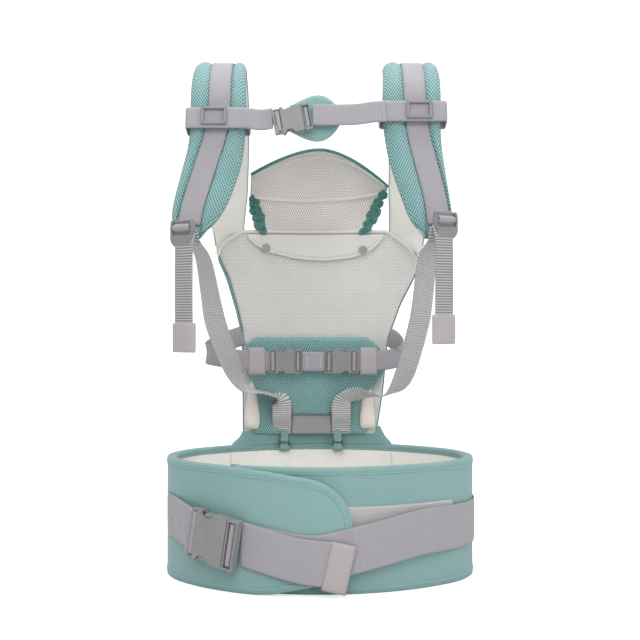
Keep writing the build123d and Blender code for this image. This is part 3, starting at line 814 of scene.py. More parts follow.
@dataclass
class Oval:
    """A level oval line made of arcs given as (centre, radius, first angle, last angle)."""

    arcs: Sequence[tuple[tuple[float, float], float, float, float]]

    def line(self, offset: float, step: float = 3.0) -> Array:
        """Points of the oval moved outwards, in plan, in drawing millimetres."""
        runs = [arc(c, r + offset, a, b, step) for c, r, a, b in self.arcs]
        joined = np.vstack([runs[0]] + [run[1:] for run in runs[1:]])
        return joined

    def wall(self, offset: float, heights: Callable[[Array], Array], step: float = 3.0) -> Array:
        """Places along the oval with a height for each, in the frame."""
        plan = self.line(offset, step)
        return place(np.column_stack([plan, heights(plan[:, 0])]))


@dataclass
class Belt:
    """The padded waist belt: an oval that overlaps itself at the front, with a rounded flap."""

    height: float = 138.0
    thick: float = 10.5
    tape: float = 9.0
    tape_proud: float = 0.7
    stitch_inset: float = 6.6
    tip: float = 35.0
    round_from: float = -22.0
    tip_power: float = 2.4
    patch: tuple[float, float] = (45.0, 96.0)
    patch_x: tuple[float, float] = (-30.0, 122.0)

    def outline(self) -> tuple[Array, Array, Array]:
        """The belt's middle line and its lower and upper edge.

        Returns:
            The places in plan, and the two heights at each, in drawing millimetres.
        """
        whole = Oval([
            ((0, 123.7), 242.2, -114.4, -51.9),
            ((97, 0), 85, -51.9, 0),
            ((92, 0), 90, 0, 48.34),
            ((0, -103.4), 228.4, 48.34, 131.66),
            ((-92, 0), 90, 131.66, 180),
            ((-90, 0), 92, 180, 223.13),
        ]).line(-self.thick / 2)
        turn = 223.13 + (279.36 - 223.13) * np.sin(np.linspace(0, np.pi / 2, 90))
        angle = np.radians(turn[1:])
        reach = 215.3 - self.thick / 2
        flap = np.column_stack([reach * np.cos(angle), 84.3 + reach * np.sin(angle)])
        plan = np.vstack([whole, flap])
        on_flap = np.arange(len(plan)) >= len(whole) - 20
        x = np.where(on_flap, plan[:, 0], -200)
        share = ((x - self.round_from) / (self.tip - self.round_from)).clip(0, 0.9995)
        round_share = (1 - share**self.tip_power) ** (1 / self.tip_power)
        top = between(x, [(-200, 138), (-110, 138), (-60, 134), (-18, 128), (35, 122)])
        low = between(x, [(-200, 0), (-70, 0), (-50, 2), (-18, 9), (35, 15)])
        middle, half = (top + low) / 2, (top - low) / 2 * round_share
        return plan, middle - half, middle + half

    def rim(self, inset: float, offset: float) -> tuple[Array, Array]:
        """A closed line that runs inside the belt's whole edge.

        Args:
            inset: How far inside the edge.
            offset: How far out from the middle of the wall.

        Returns:
            The places, and the outward direction at each.
        """
        plan, low, top = self.outline()
        tangent = unit(np.gradient(plan, axis=0))
        out = np.column_stack([tangent[:, 1], -tangent[:, 0]])
        run = length_along(plan)
        side = np.column_stack([np.concatenate([run, run[::-1]]), np.concatenate([top, low[::-1]])])
        ahead = unit(np.roll(side, -1, 0) - np.roll(side, 1, 0))
        moved = side + inset * np.column_stack([ahead[:, 1], -ahead[:, 0]])
        moved[:, 0] = moved[:, 0].clip(inset, run[-1] - inset)
        x = np.interp(moved[:, 0], run, plan[:, 0])
        y = np.interp(moved[:, 0], run, plan[:, 1])
        outward = np.column_stack([np.interp(moved[:, 0], run, out[:, k]) for k in (0, 1)])
        outward = unit(np.column_stack([outward, np.zeros(len(outward))]))
        line = np.column_stack([x, y, moved[:, 1]]) + offset * outward
        return place(line), outward

    def body(self) -> None:
        """Makes the belt: smooth cloth outside and pale mesh inside."""
        plan, low, top = self.outline()
        path = place(np.column_stack([plan, (low + top) / 2]))
        half = (top - low) / 2 * MM

        def soft(along: Array, c: Array, side: Array) -> Array:
            """Slight swelling between the bound edges."""
            return 0.35 * MM * ripple(along, c * self.height / 2 * MM, 3, 70 * MM) * (1 - c**4)

        sweep = Sweep(path, (0, 0, 1), half, self.thick / 2 * MM, 14, 26, relief=soft, heading=(1, 1, 0))
        # The inside takes the near-white belt lining, which is partly painted light.
        piece = sweep.build(
            "belt_cloth", Look.TEAL_CLOTH, "belt", ("belt_cover", "belt_foam", "belt_lining"), Look.BELT_LINING
        )

    def binding(self) -> None:
        """Makes the tape folded over the belt's edge and its row of stitches."""
        path, out = self.rim(self.tape / 2, 0)
        count = int(length_along(path)[-1] / (4 * MM))
        both = even(np.hstack([np.vstack([path, path[:1]]), np.vstack([out, out[:1]])]), count + 1)[:-1]
        path, out = both[:, :3], unit(both[:, 3:])
        half = (self.thick / 2 + self.tape_proud) * MM
        Sweep(path, out, half, self.tape / 2 * MM, 5, 12, closed=True).build("belt_binding", Look.TEAL_BINDING, "belt")
        line, out = self.rim(self.stitch_inset, self.thick / 2 + self.tape_proud + 0.1)
        stitches("belt_binding_stitches", line, out, Look.THREAD, "belt")
        line, out = self.rim(self.stitch_inset, -self.thick / 2 - self.tape_proud - 0.1)
        stitches("belt_inner_stitches", line, -out, Look.THREAD, "belt")

    def fasteners(self) -> None:
        """Makes the loop patch on the tongue and its stitches, and the hook patch inside the flap."""
        tongue = Oval([((0, 123.7), 242.2, -97.1, -51.9)])
        low, high = self.patch
        path = tongue.wall(0.7, lambda x: np.full(len(x), (low + high) / 2))
        Sweep(path, (0, 0, 1), (high - low) / 2 * MM, 0.9 * MM, 8, 10).build(
            "loop_patch_cloth", Look.LOOPS, "belt", ("loop_patch",)
        )
        for word, height in (("upper", high - 2.5), ("lower", low + 2.5)):
            line = tongue.wall(1.7, lambda x: np.full(len(x), height))
            out = unit((line - place([0, 123.7, height])) * [1, 1, 0])
            stitches(f"loop_patch_stitches_{word}", line, out, Look.PALE_THREAD, "belt")
        flap = Oval([((0, 84.3), 215.3 - self.thick, -98, -84.6)])
        path = flap.wall(-0.7, lambda x: np.full(len(x), 70.0))
        Sweep(path, (0, 0, 1), 22 * MM, 0.8 * MM, 8, 8).build("hook_patch_cloth", Look.HOOKS, "belt", ("hook_patch",))

    def seams(self) -> None:
        """Makes the two upright seams of the lining."""
        for word, x in (("left", -115.0), ("right", 94.0)):
            angle = np.arccos(x / 217.9)
            y = -103.4 + 217.9 * np.sin(angle)
            path = place([[x, y, z] for z in range(12, 131, 4)])
            Sweep(path, (1, 0, 0), 2.2 * MM, 1.0 * MM, 2.5, 6).build(f"lining_seam_{word}", Look.CREAM_CLOTH, "belt")

    def build(self) -> None:
        """Makes the whole belt."""
        self.body()
        self.binding()
        self.fasteners()
        self.seams()
        self.hooks()

    def hooks(self) -> None:
        """Makes the two rings at the back rim, the cloth loops that hold them and their tabs."""
        for word, x in (("left", -46.0), ("right", 23.0)):
            roll = [(x, 113, 141), (x, 106, 140.5), (x, 101, 137), (x, 100, 133), (x, 104, 129.5), (x, 110, 129)]
            path = place(curve(roll, 30))
            piece = Sweep(path, (1, 0, 0), 6.5 * MM, 1.3 * MM, 3, 8)
            nodes = ("belt_hook_loops",) if word == "left" else ()
            piece.build(f"rim_loop_{word}", Look.TEAL_BINDING, "belt", nodes)
            ring = [(-6, 136), (-6, 141), (-4.5, 144), (0, 144.6), (4.5, 144), (6, 141), (6, 136), (4, 134.6),
                    (0, 134.2), (-4, 134.6)]
            path = place([(x + dx, 100.6, z) for dx, z in ring])
            path = even(np.vstack([path, path[:1]]), 49)[:-1]
            Sweep(path, (0, 1, 0), 1.3 * MM, 1.1 * MM, 2.4, 6, closed=True).build(
                f"rim_ring_{word}", Look.DARK_PLASTIC, f"hook_{word}", (f"belt_hook_{word}",)
            )
            tab = [(x, 103.5, 158), (x, 102.4, 150), (x, 100.2, 145.5), (x, 98.8, 143), (x, 100.4, 141.5)]
            Sweep(place(curve(tab, 24)), (1, 0, 0), 5.0 * MM, 0.8 * MM, 4, 8).build(
                f"riser_tab_{word}", Look.TEAL_BINDING, "panel"
            )


@dataclass
class WaistStrap:
    """The wide webbing round the belt's front, its free tail and its anchor."""

    thick: float = 1.6
    width: float = 50.0
    arc_centre: float = 84.3
    arc_radius: float = 215.3

    def wall_line(self, offset: float, first: float, last: float, right: bool) -> Array:
        """A line on the flap's arc and, when right, on the belt's right side first.

        Args:
            offset: How far out from the flap's face.
            first: The first x, or the side arc's first angle when right.
            last: The last x.
            right: Whether the line starts on the right side.

        Returns:
            Places in plan, from right to left.
        """
        def turn(x: float) -> float:
            return -np.degrees(np.arccos(x / (self.arc_radius + offset)))

        front = (0, self.arc_centre)
        if right:
            return Oval([
                ((90, 0), 92 + offset, first, -43.13), (front, self.arc_radius + offset, -43.13, turn(last))
            ]).line(0)
        return Oval([(front, self.arc_radius + offset, turn(first), turn(last))]).line(0)

    def band(
        self, name: str, plan: Array, top: Sequence, low: Sequence, look: Look, body: str, node: str
    ) -> tuple[Array, Array]:
        """Makes webbing whose upper and lower edges are given over x.

        Args:
            name: The piece's name.
            plan: Its places in plan.
            top: Pairs of x and the upper edge's height.
            low: Pairs of x and the lower edge's height.
            look: Its finish.
            body: The body that carries it.
            node: The node that it stands for.

        Returns:
            The middle line in the frame and the half width at each place, in metres.
        """
        upper = smooth(between(plan[:, 0], top), 6)
        lower = smooth(between(plan[:, 0], low), 6)
        path = place(np.column_stack([plan, (upper + lower) / 2]))
        half = (upper - lower) / 2 * MM
        Sweep(path, (0, 0, 1), half, self.thick / 2 * MM, 6, 14, heading=(1, 1, 0)).build(name, look, body, (node,))
        return path, half

    def build(self) -> None:
        """Makes the strap, its tail with the sewn fold, and the anchor."""
        plan = self.wall_line(1.4, 4, -80, True)
        self.band(
            "waist_webbing", plan,
            [(-80, 78), (-10, 66.5), (37, 76), (110, 91), (190, 90)],
            [(-80, 27.5), (-10, 15), (37, 25), (110, 40), (190, 39.5)], Look.WEBBING, "belt", "waist_strap",
        )
        plan = self.wall_line(4.9, 18, -86, False)
        self.band(
            "waist_tail", plan,
            [(-88, 81.5), (-60, 75), (-24, 65), (20, 61)], [(-88, 32.5), (-60, 25), (-24, 15.5), (20, 11)],
            Look.WEBBING, "waist_male", "waist_strap_tail",
        )
        self.keeper()
        self.anchor()

    def keeper(self) -> None:
        """Makes the elastic fold at the tail's end, slanted along the tail."""
        plan = self.wall_line(5.6, 33, 7, False)
        middle = place(np.column_stack([plan, between(plan[:, 0], [(7, 36), (33, 30)])]))
        across = unit(np.array([9.0, 0.5, 54.0]))
        piece = Sweep(middle, across, 27 * MM, 2.4 * MM, 3.5, 12, round_ends=2.5 * MM)
        piece.build("waist_tail_elastic", Look.KEEPER, "waist_male", ("waist_tail_keeper",))

    def anchor(self) -> None:
        """Makes the webbing sewn to the flap's left, with its crossed stitches and its fold."""
        side = arc((-90, 0), 94, 203, 216, 3)
        end = (waist_buckle_plane().out(np.array([-47.0, 0, 6.0]) * MM) - [0, SHIFT, 0]) / MM
        plan = even(np.vstack([side, [(-157, -70.5)], [end[:2]]]), 60)
        upper = between(plan[:, 0], [(-184, 101), (-165, 98), (-141, 91)])
        path = place(np.column_stack([plan, upper - 25.5]))
        Sweep(path, (0, 0, 1), 25 * MM, 1.3 * MM, 6, 14, heading=(1, 1, 0)).build(
            "waist_anchor", Look.WEBBING, "belt", ("waist_anchor_webbing",)
        )
        plane = waist_buckle_plane()
        for word, x, wide, high in (("fold", -44.2, 4.2, 4.0), ("end", -51.5, 2.2, 2.2)):
            y = np.linspace(-25, 25, 30)
            roll = plane.out(np.column_stack([np.full(30, x), y, np.full(30, 6.4)]) * MM)
            Sweep(roll, plane.x, wide * MM, high * MM, 2.3, 12, round_ends=0.8 * MM).build(
                f"waist_anchor_{word}", Look.WEBBING, "belt"
            )
        self.cross(path)

    def cross(self, path: Array) -> None:
        """Sews a box with a cross inside on the anchor."""
        part = path[2:int(len(path) * 0.74)]
        ahead = unit(np.gradient(part, axis=0))
        out = unit(np.cross(ahead, (0, 0, 1)))
        out = np.where((out * (part - place([-90, 0, 0]))).sum(axis=1, keepdims=True) < 0, -out, out)
        share = np.linspace(-1, 1, len(part))[:, None]
        reach = 22 * MM * np.array([[0, 0, 1.0]])
        raised = part + out * 1.5 * MM
        upright = np.linspace(-1, 1, 30)[:, None] * reach
        lines = {
            "rise": (raised + share * reach, out), "fall": (raised - share * reach, out),
            "upper": (raised + reach, out), "lower": (raised - reach, out),
            "first": (raised[0] + upright, np.repeat(out[:1], 30, 0)),
            "last": (raised[-1] + upright, np.repeat(out[-1:], 30, 0)),
        }
        for word, (line, away) in lines.items():
            stitches(f"anchor_stitches_{word}", line, away, Look.PALE_THREAD, "belt")


# Panel --------------------------------------------------------------------------------------


def bow(points: Array, radius: float = 600.0) -> Array:
    """Moves places back or forward so that a flat sheet follows the panel's arc: y grows by
    the square root of radius squared less x squared, less the radius."""
    bent = points.copy()
    bent[..., 1] += np.sqrt((radius * MM) ** 2 - points[..., 0] ** 2) - radius * MM
    return bent


@dataclass
class Panel:
    """The back panel: a curved padded sheet with its edges, pads and neck facing."""

    face: float = 588.0
    back: float = 600.0
    centre: float = -480.0
    left: tuple = (
        (415, -94), (411, -108), (403, -122), (391, -133), (381, -130), (353, -117), (313, -106), (286, -100), (151, -99)
    )
    right: tuple = (
        (415, 84), (409, 96), (394, 116), (375, 131), (369, 128), (346, 117), (321, 104), (273, 87), (208, 81), (156, 73),
        (151, 72),
    )

    def sheet_path(self, low: float, high: float, radius: float) -> tuple[Array, Array]:
        """The panel's middle line between two heights and its half width at each place."""
        z = np.arange(low, high + 0.1, 2.5)
        left = smooth(between(z, self.left), 3)
        right = smooth(between(z, self.right), 3)
        path = place(np.column_stack([(left + right) / 2, np.full(len(z), self.centre + radius), z]))
        return path, (right - left) / 2 * MM

    def made(self, sweep: Sweep, radius: float, *args: object, **kwargs: object) -> bpy.types.Object:
        """Builds a sweep whose points follow the panel's arc."""
        piece = sweep.build(*args, **kwargs)
        count = len(piece.data.vertices)
        flat = np.empty(count * 3)
        piece.data.vertices.foreach_get("co", flat)
        piece.data.vertices.foreach_set("co", bow(flat.reshape(-1, 3), radius).ravel())
        piece.data.update()
        return piece

    def body(self) -> None:
        """Makes the panel with mesh behind and pale mesh in front."""
        path, half = self.sheet_path(151, 415, (self.face + self.back) / 2)

        def soft(along: Array, c: Array, side: Array) -> Array:
            """Shallow waves of cloth over foam."""
            return 0.9 * MM * ripple(along, c * 0.1, 11, 90 * MM) * (1 - c**6)

        sweep = Sweep(path, (1, 0, 0), half, 6 * MM, 8, 48, relief=soft, heading=(0, 0, 1))
        piece = self.made(
            sweep, 600, "panel_cloth", Look.TEAL_MESH, "panel",
            ("panel_outer", "panel_foam", "panel_lining"), Look.CREAM_MESH,
        )

    def edge_line(self, inset: float, y: float, low: float = 153.0) -> Array:
        """The panel's sides and top as one line, from the lower left round to the lower right."""
        z = np.append(np.arange(low, 414, 4.0), 414.0)
        left = np.column_stack([smooth(between(z, self.left), 2) + inset, np.full(len(z), y), z - inset * 0.5])
        right = np.column_stack([smooth(between(z, self.right), 2) - inset, np.full(len(z), y), z - inset * 0.5])
        top_x = np.linspace(left[-1, 0] + 8, right[-1, 0] - 8, 40)
        top = np.column_stack([top_x, np.full(40, y), np.full(40, 415.0 - inset)])
        return place(np.vstack([left, top, right[::-1]]))

    def edges(self) -> None:
        """Makes the pale welt along the top, the dark piping behind and the mesh side wall."""
        # The top welt takes the darker cream copy, which is painted shade.
        for name, inset, y, wide, thick, look, low in (
            ("panel_binding", 1.4, self.centre + 588.4, 2.4, 2.2, Look.NECK_CLOTH, 384.0),
            ("panel_piping", 0.6, self.centre + 598.5, 2.4, 2.2, Look.DARK_TEAL, 153.0),
        ):
            line = even(self.edge_line(inset, y, low), 240)
            sweep = Sweep(line, (0, 1, 0), thick * MM, wide * MM, 2.4, 10)
            self.made(sweep, 600, name, look, "panel")
        line = bow(even(self.edge_line(6.5, self.centre + 587.2, 368), 300))
        stitches("panel_edge_stitches", line, np.array([0.0, -1.0, 0.0]), Look.PALE_THREAD, "panel")
        z = np.arange(262, 385, 3.0)
        x = smooth(between(z, self.left), 2) - 0.6
        line = place(np.column_stack([x, np.full(len(z), self.centre + 595.5), z]))
        wide = between(z, [(262, 1.5), (290, 3.4), (350, 4.6), (376, 4.0), (385, 1.5)]) * MM
        self.made(Sweep(line, (1, 0.6, 0), wide, 1.6 * MM, 3, 10), 600, "panel_side_mesh", Look.TEAL_MESH, "panel")

    def foot(self) -> None:
        """Makes the cloth foot between the belt's rim and the panel: a flared wall whose front and
        back stand half a thickness either side of a sheet that goes from one arc to the other."""
        rows, columns = 16, 60
        share = np.linspace(0, 1, rows)[:, None] * np.ones(columns)
        z = 137.0 + 24.0 * share
        left = between(z, [(137, -115), (141, -112), (148, -104), (161, -97)])
        right = between(z, [(137, 94), (141, 92), (148, 85), (161, 78)])
        c = np.linspace(-1, 1, columns)[None] * np.ones((rows, 1))
        x = (left + right) / 2 + (right - left) / 2 * c
        low = -103.4 + np.sqrt(222.4**2 - x**2)
        high = self.centre + np.sqrt(593.5**2 - x**2)
        y = low + (high - low) * share
        half = (5.6 - 2.2 * share) * (1 - c**8).clip(0.02) ** 0.5
        front, back = (place(np.stack([x, y + sign * half, z], axis=-1)) for sign in (-1, 1))
        piece = make_shell("panel_foot_cloth", front, back, Look.FOOT_CLOTH, "", ("panel_foot",))
        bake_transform(piece)
        seam = place(np.column_stack([x[9], y[9] - half[9] - 0.2, z[9]]))
        stitches("panel_foot_stitches", seam[2:-2], np.array([0.0, -1.0, 0.0]), Look.THREAD, "panel")

    def lower_mesh(self) -> None:
        """Makes the open mesh over the panel's lower front, between the bolsters."""
        z = np.arange(152, 246, 3.0)
        path = place(np.column_stack([np.full(len(z), -13.0), np.full(len(z), self.centre + 586.6), z]))
        sweep = Sweep(path, (1, 0, 0), 74 * MM, 2.2 * MM, 6, 40, heading=(0, 0, 1))
        self.made(sweep, 600, "panel_lower_mesh", Look.TEAL_MESH, "panel")

    def bolsters(self) -> None:
        """Makes the two padded columns low on the panel's front."""
        for word, x, top in (("left", -87.5, 221), ("right", 61.5, 214)):
            z = np.linspace(158, top, 30)
            y = np.full(30, self.centre + 584.0)
            path = place(np.column_stack([np.full(30, x), y, z]))
            width = between(z, [(158, 6.5), (162, 9.2), (172, 9.8), (190, 8.0), (208, 5.0), (top, 2.0)]) * MM
            thick = between(z, [(158, 4.0), (164, 6.8), (196, 6.0), (top, 3.0)]) * MM
            sweep = Sweep(path, (1, 0, 0), width, thick, 2.2, 16, round_ends=5 * MM, heading=(0, 0, 1))
            nodes = ("panel_bolsters",) if word == "left" else ()
            piece = self.made(sweep, 600, f"panel_bolster_{word}", Look.WARM_CLOTH, "panel", nodes)

    def lumbar_pad(self) -> None:
        """Makes the mesh pad at the small of the back, six-sided and crowned."""
        z = np.linspace(176.5, 277, 60)
        left = between(z, [(176.5, -37), (184, -41), (196, -62), (211, -82), (228, -95), (264, -97), (272, -90), (277, -80)])
        right = between(z, [(176.5, 14), (184, 18), (198, 46), (212, 70), (230, 83), (254, 84), (264, 77), (273, 66), (277, 58)])
        left, right = smooth(left, 2), smooth(right, 2)
        path = place(np.column_stack([(left + right) / 2, np.full(60, self.centre + 581.5), z]))

        def crown(along: Array, c: Array, side: Array) -> Array:
            """A swelling towards the wearer that fades at the edge."""
            middle = np.sin(np.pi * (along / along.max()).clip(0.02, 0.98)) ** 0.5
            return -2.4 * MM * (1 - c**4) * middle * (side < 0)

        width = (right - left) / 2 * MM
        sweep = Sweep(
            path, (1, 0, 0), width, 5.6 * MM, 4, 40, round_ends=5 * MM, relief=crown, heading=(0, 0, 1)
        )
        piece = self.made(sweep, 600, "lumbar_pad_mesh", Look.TEAL_MESH, "panel", ("lumbar_pad",))

    def neck(self) -> None:
        """Makes the neck facing that hangs from the panel's top, with its hem."""
        x = np.linspace(-93.5, 82.5, 90)
        low = [(-94, 408), (-88, 399), (-66, 387), (-31, 378.5), (3, 376), (37, 379), (61, 386), (77, 399), (83, 408)]
        bottom = smooth(between(x, low), 3)
        y = np.full(90, self.centre + 585.0)
        path = place(np.column_stack([x, y, (410 + bottom) / 2]))
        sweep = Sweep(path, (0, 0, 1), (410 - bottom) / 2 * MM, 0.7 * MM, 3, 12, heading=(1, 0, 0))
        # The facing and its hem take the darker cream copy, which is painted shade.
        piece = self.made(sweep, 585, "neck_facing", Look.NECK_CLOTH, "neck_flap", ("neck_flap",))
        hem = place(np.column_stack([x[3:-3], y[3:-3] - 1.0, bottom[3:-3] + 1.0]))
        self.made(Sweep(hem, (0, 0, 1), 1.3 * MM, 0.6 * MM, 2.2, 8), 585, "neck_facing_hem", Look.NECK_CLOTH, "neck_flap")
        line = bow(place(np.column_stack([x[4:-4], y[4:-4] - 1.0, bottom[4:-4] + 4.5])), 585)
        stitches("neck_facing_stitches", line, np.array([0.0, -1.0, 0.0]), Look.PALE_THREAD, "neck_flap")
        dress("snap_caps", Look.SNAP)
        dress("snap_studs", Look.SNAP)

    def build(self) -> None:
        """Makes the whole panel."""
        self.body()
        self.edges()
        self.foot()
        self.lower_mesh()
        self.bolsters()
        self.lumbar_pad()
        self.neck()


# Webbings on the panel ------------------------------------------------------------------------


@dataclass
class PanelWebbings:
    """The narrow webbings: risers and side straps, lumbar strap and the band between risers."""

    width: float = 25.0
    thick: float = 1.6
    left: tuple = (
        ((-49.3, 103.6, 152), (1, 0, 0)), ((-49.3, 102, 161), (1, 0, 0)), ((-49.3, 92.5, 175), (1, 0, 0)),
        ((-49.3, 90, 190), (1, 0, 0)), ((-52, 87.5, 199), (0.8, 0.7, -0.15)), ((-66, 80, 205), (0.1, 1, 0.0)),
        ((-85, 70, 211), (0, 1, 0.12)), ((-100, 54, 223), (0.35, 0.75, 0.45)), ((-112, 28, 252), (0.9, 0.3, 0.45)),
        ((-123.5, -10, 293), (1, 0.1, 0.15)), ((-126, -40, 320), (1, -0.4, 0)), ((-130, -86, 366), (0.7, -0.7, 0)),
        ((-138, -110, 385), (0.6, -0.75, 0)), ((-141, -114, 397), (0.6, -0.7, 0)),
    )
    right: tuple = (
        ((27.3, 103.6, 152), (1, 0, 0)), ((27.3, 102, 161), (1, 0, 0)), ((27.3, 92.5, 175), (1, 0, 0)),
        ((27.4, 90, 189), (1, 0, 0)), ((32, 87, 199), (0.8, 0.5, -0.35)), ((48, 82, 205), (0.35, 0.6, -0.65)),
        ((68, 77, 204), (0.1, 0.95, -0.25)), ((84, 70, 204), (0.2, 1, 0.0)), ((97, 57, 214), (0.7, 0.7, -0.3)),
        ((106.5, 36, 238), (1, 0.3, -0.4)), ((117, -10, 291), (1, 0, 0)), ((119, -40, 320), (1, 0.3, 0)),
        ((120, -88, 368), (0.9, 0.5, 0)), ((127, -110, 386), (0.8, 0.6, 0)), ((129, -113, 400), (0.8, 0.6, 0)),
    )
    loop_left: tuple = (
        (-100, 96, 279), (-122, 85, 271), (-139, 73, 262), (-142.5, 67, 258), (-138, 62, 255), (-112, 69, 250),
        (-94, 76, 248), (-78, 78.5, 247), (-63, 79.5, 246),
    )
    loop_right: tuple = (
        (90, 98, 277), (99, 88, 270), (104, 78, 262), (101, 71, 254), (88, 72, 249), (72, 77, 247), (60, 79, 246),
        (47, 79.5, 246),
    )

    def ribbon(
        self, name: str, stations: Sequence, look: Look, nodes: Sequence[str], body: str = "panel", count: int = 90
    ) -> bpy.types.Object:
        """Makes flat webbing through stations of (place, width direction).

        Args:
            name: The piece's name.
            stations: Places with the rough direction across the webbing at each.
            look: Its finish.
            nodes: The nodes that it stands for.
            body: The body that carries it.
            count: How many sections it has.

        Returns:
            The object.
        """
        places = np.array([list(at) + list(unit(np.array(across, float))) for at, across in stations], float)
        line = curve(places, count)
        path, across = place(line[:, :3]), unit(line[:, 3:])
        return Sweep(path, across, self.width / 2 * MM, self.thick / 2 * MM, 6, 10).build(name, look, body, nodes)

    def build(self) -> None:
        """Makes all of them."""
        self.ribbon("strap_webbing_left_band", self.left, Look.RIBBED, ("strap_webbing_left",))
        self.ribbon("strap_webbing_right_band", self.right, Look.RIBBED, ("strap_webbing_right",))
        up = (0.0, 0.0, 1.0)
        for word, loop in (("left", self.loop_left), ("right", self.loop_right)):
            band = self.ribbon(
                f"lumbar_loop_{word}_band", [(p, up) for p in loop], Look.WEBBING, (f"lumbar_loop_{word}",), ""
            )
            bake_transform(band)
        line = [((x, 80.0, 246), up) for x in (-22.9, -15, -8, 0, 6.3)]
        self.ribbon("lumbar_band", line, Look.WEBBING, ("lumbar_webbing",), count=20)
        line = [((x, self.level(x), 164), (0, 0, 1)) for x in (-36, -24, -11, 2, 14)]
        self.ribbon("riser_cross_band", line, Look.WEBBING, ("bottom_webbing",), count=30)
        for word, x in (("left", -80.5), ("right", 62.0)):
            path = place([[x + dx, 76.5, 246.5] for dx in np.linspace(-10.5, 10.5, 16)])
            Sweep(path, (0, 0, 1), 17.5 * MM, 2.6 * MM, 3.4, 12, round_ends=1.5 * MM).build(
                f"lumbar_keeper_{word}", Look.KEEPER, f"lumbar_female_{word}"
            )
        for x in (-16.5, 0.5):
            bar = [[x, 79.0, z] for z in np.linspace(238, 254, 12)]
            stitches(f"lumbar_tack_{'left' if x < 0 else 'right'}", place(bar), np.array([0, -1.0, 0]),
                     Look.PALE_THREAD, "panel", 1.6 * MM, 0.1 * MM, 0.8 * MM)

    def level(self, x: float) -> float:
        """The front face of the lower panel at x, in drawing millimetres."""
        return float(-480 + np.sqrt(582.2**2 - x**2))


# Shoulder straps ------------------------------------------------------------------------------


@dataclass
class StrapSide:
    """One shoulder strap: its edges by height on the near and far legs, and its webbing's middle."""

    name: str
    near: tuple
    far: tuple
    webbing: tuple
    low: float = 389.5


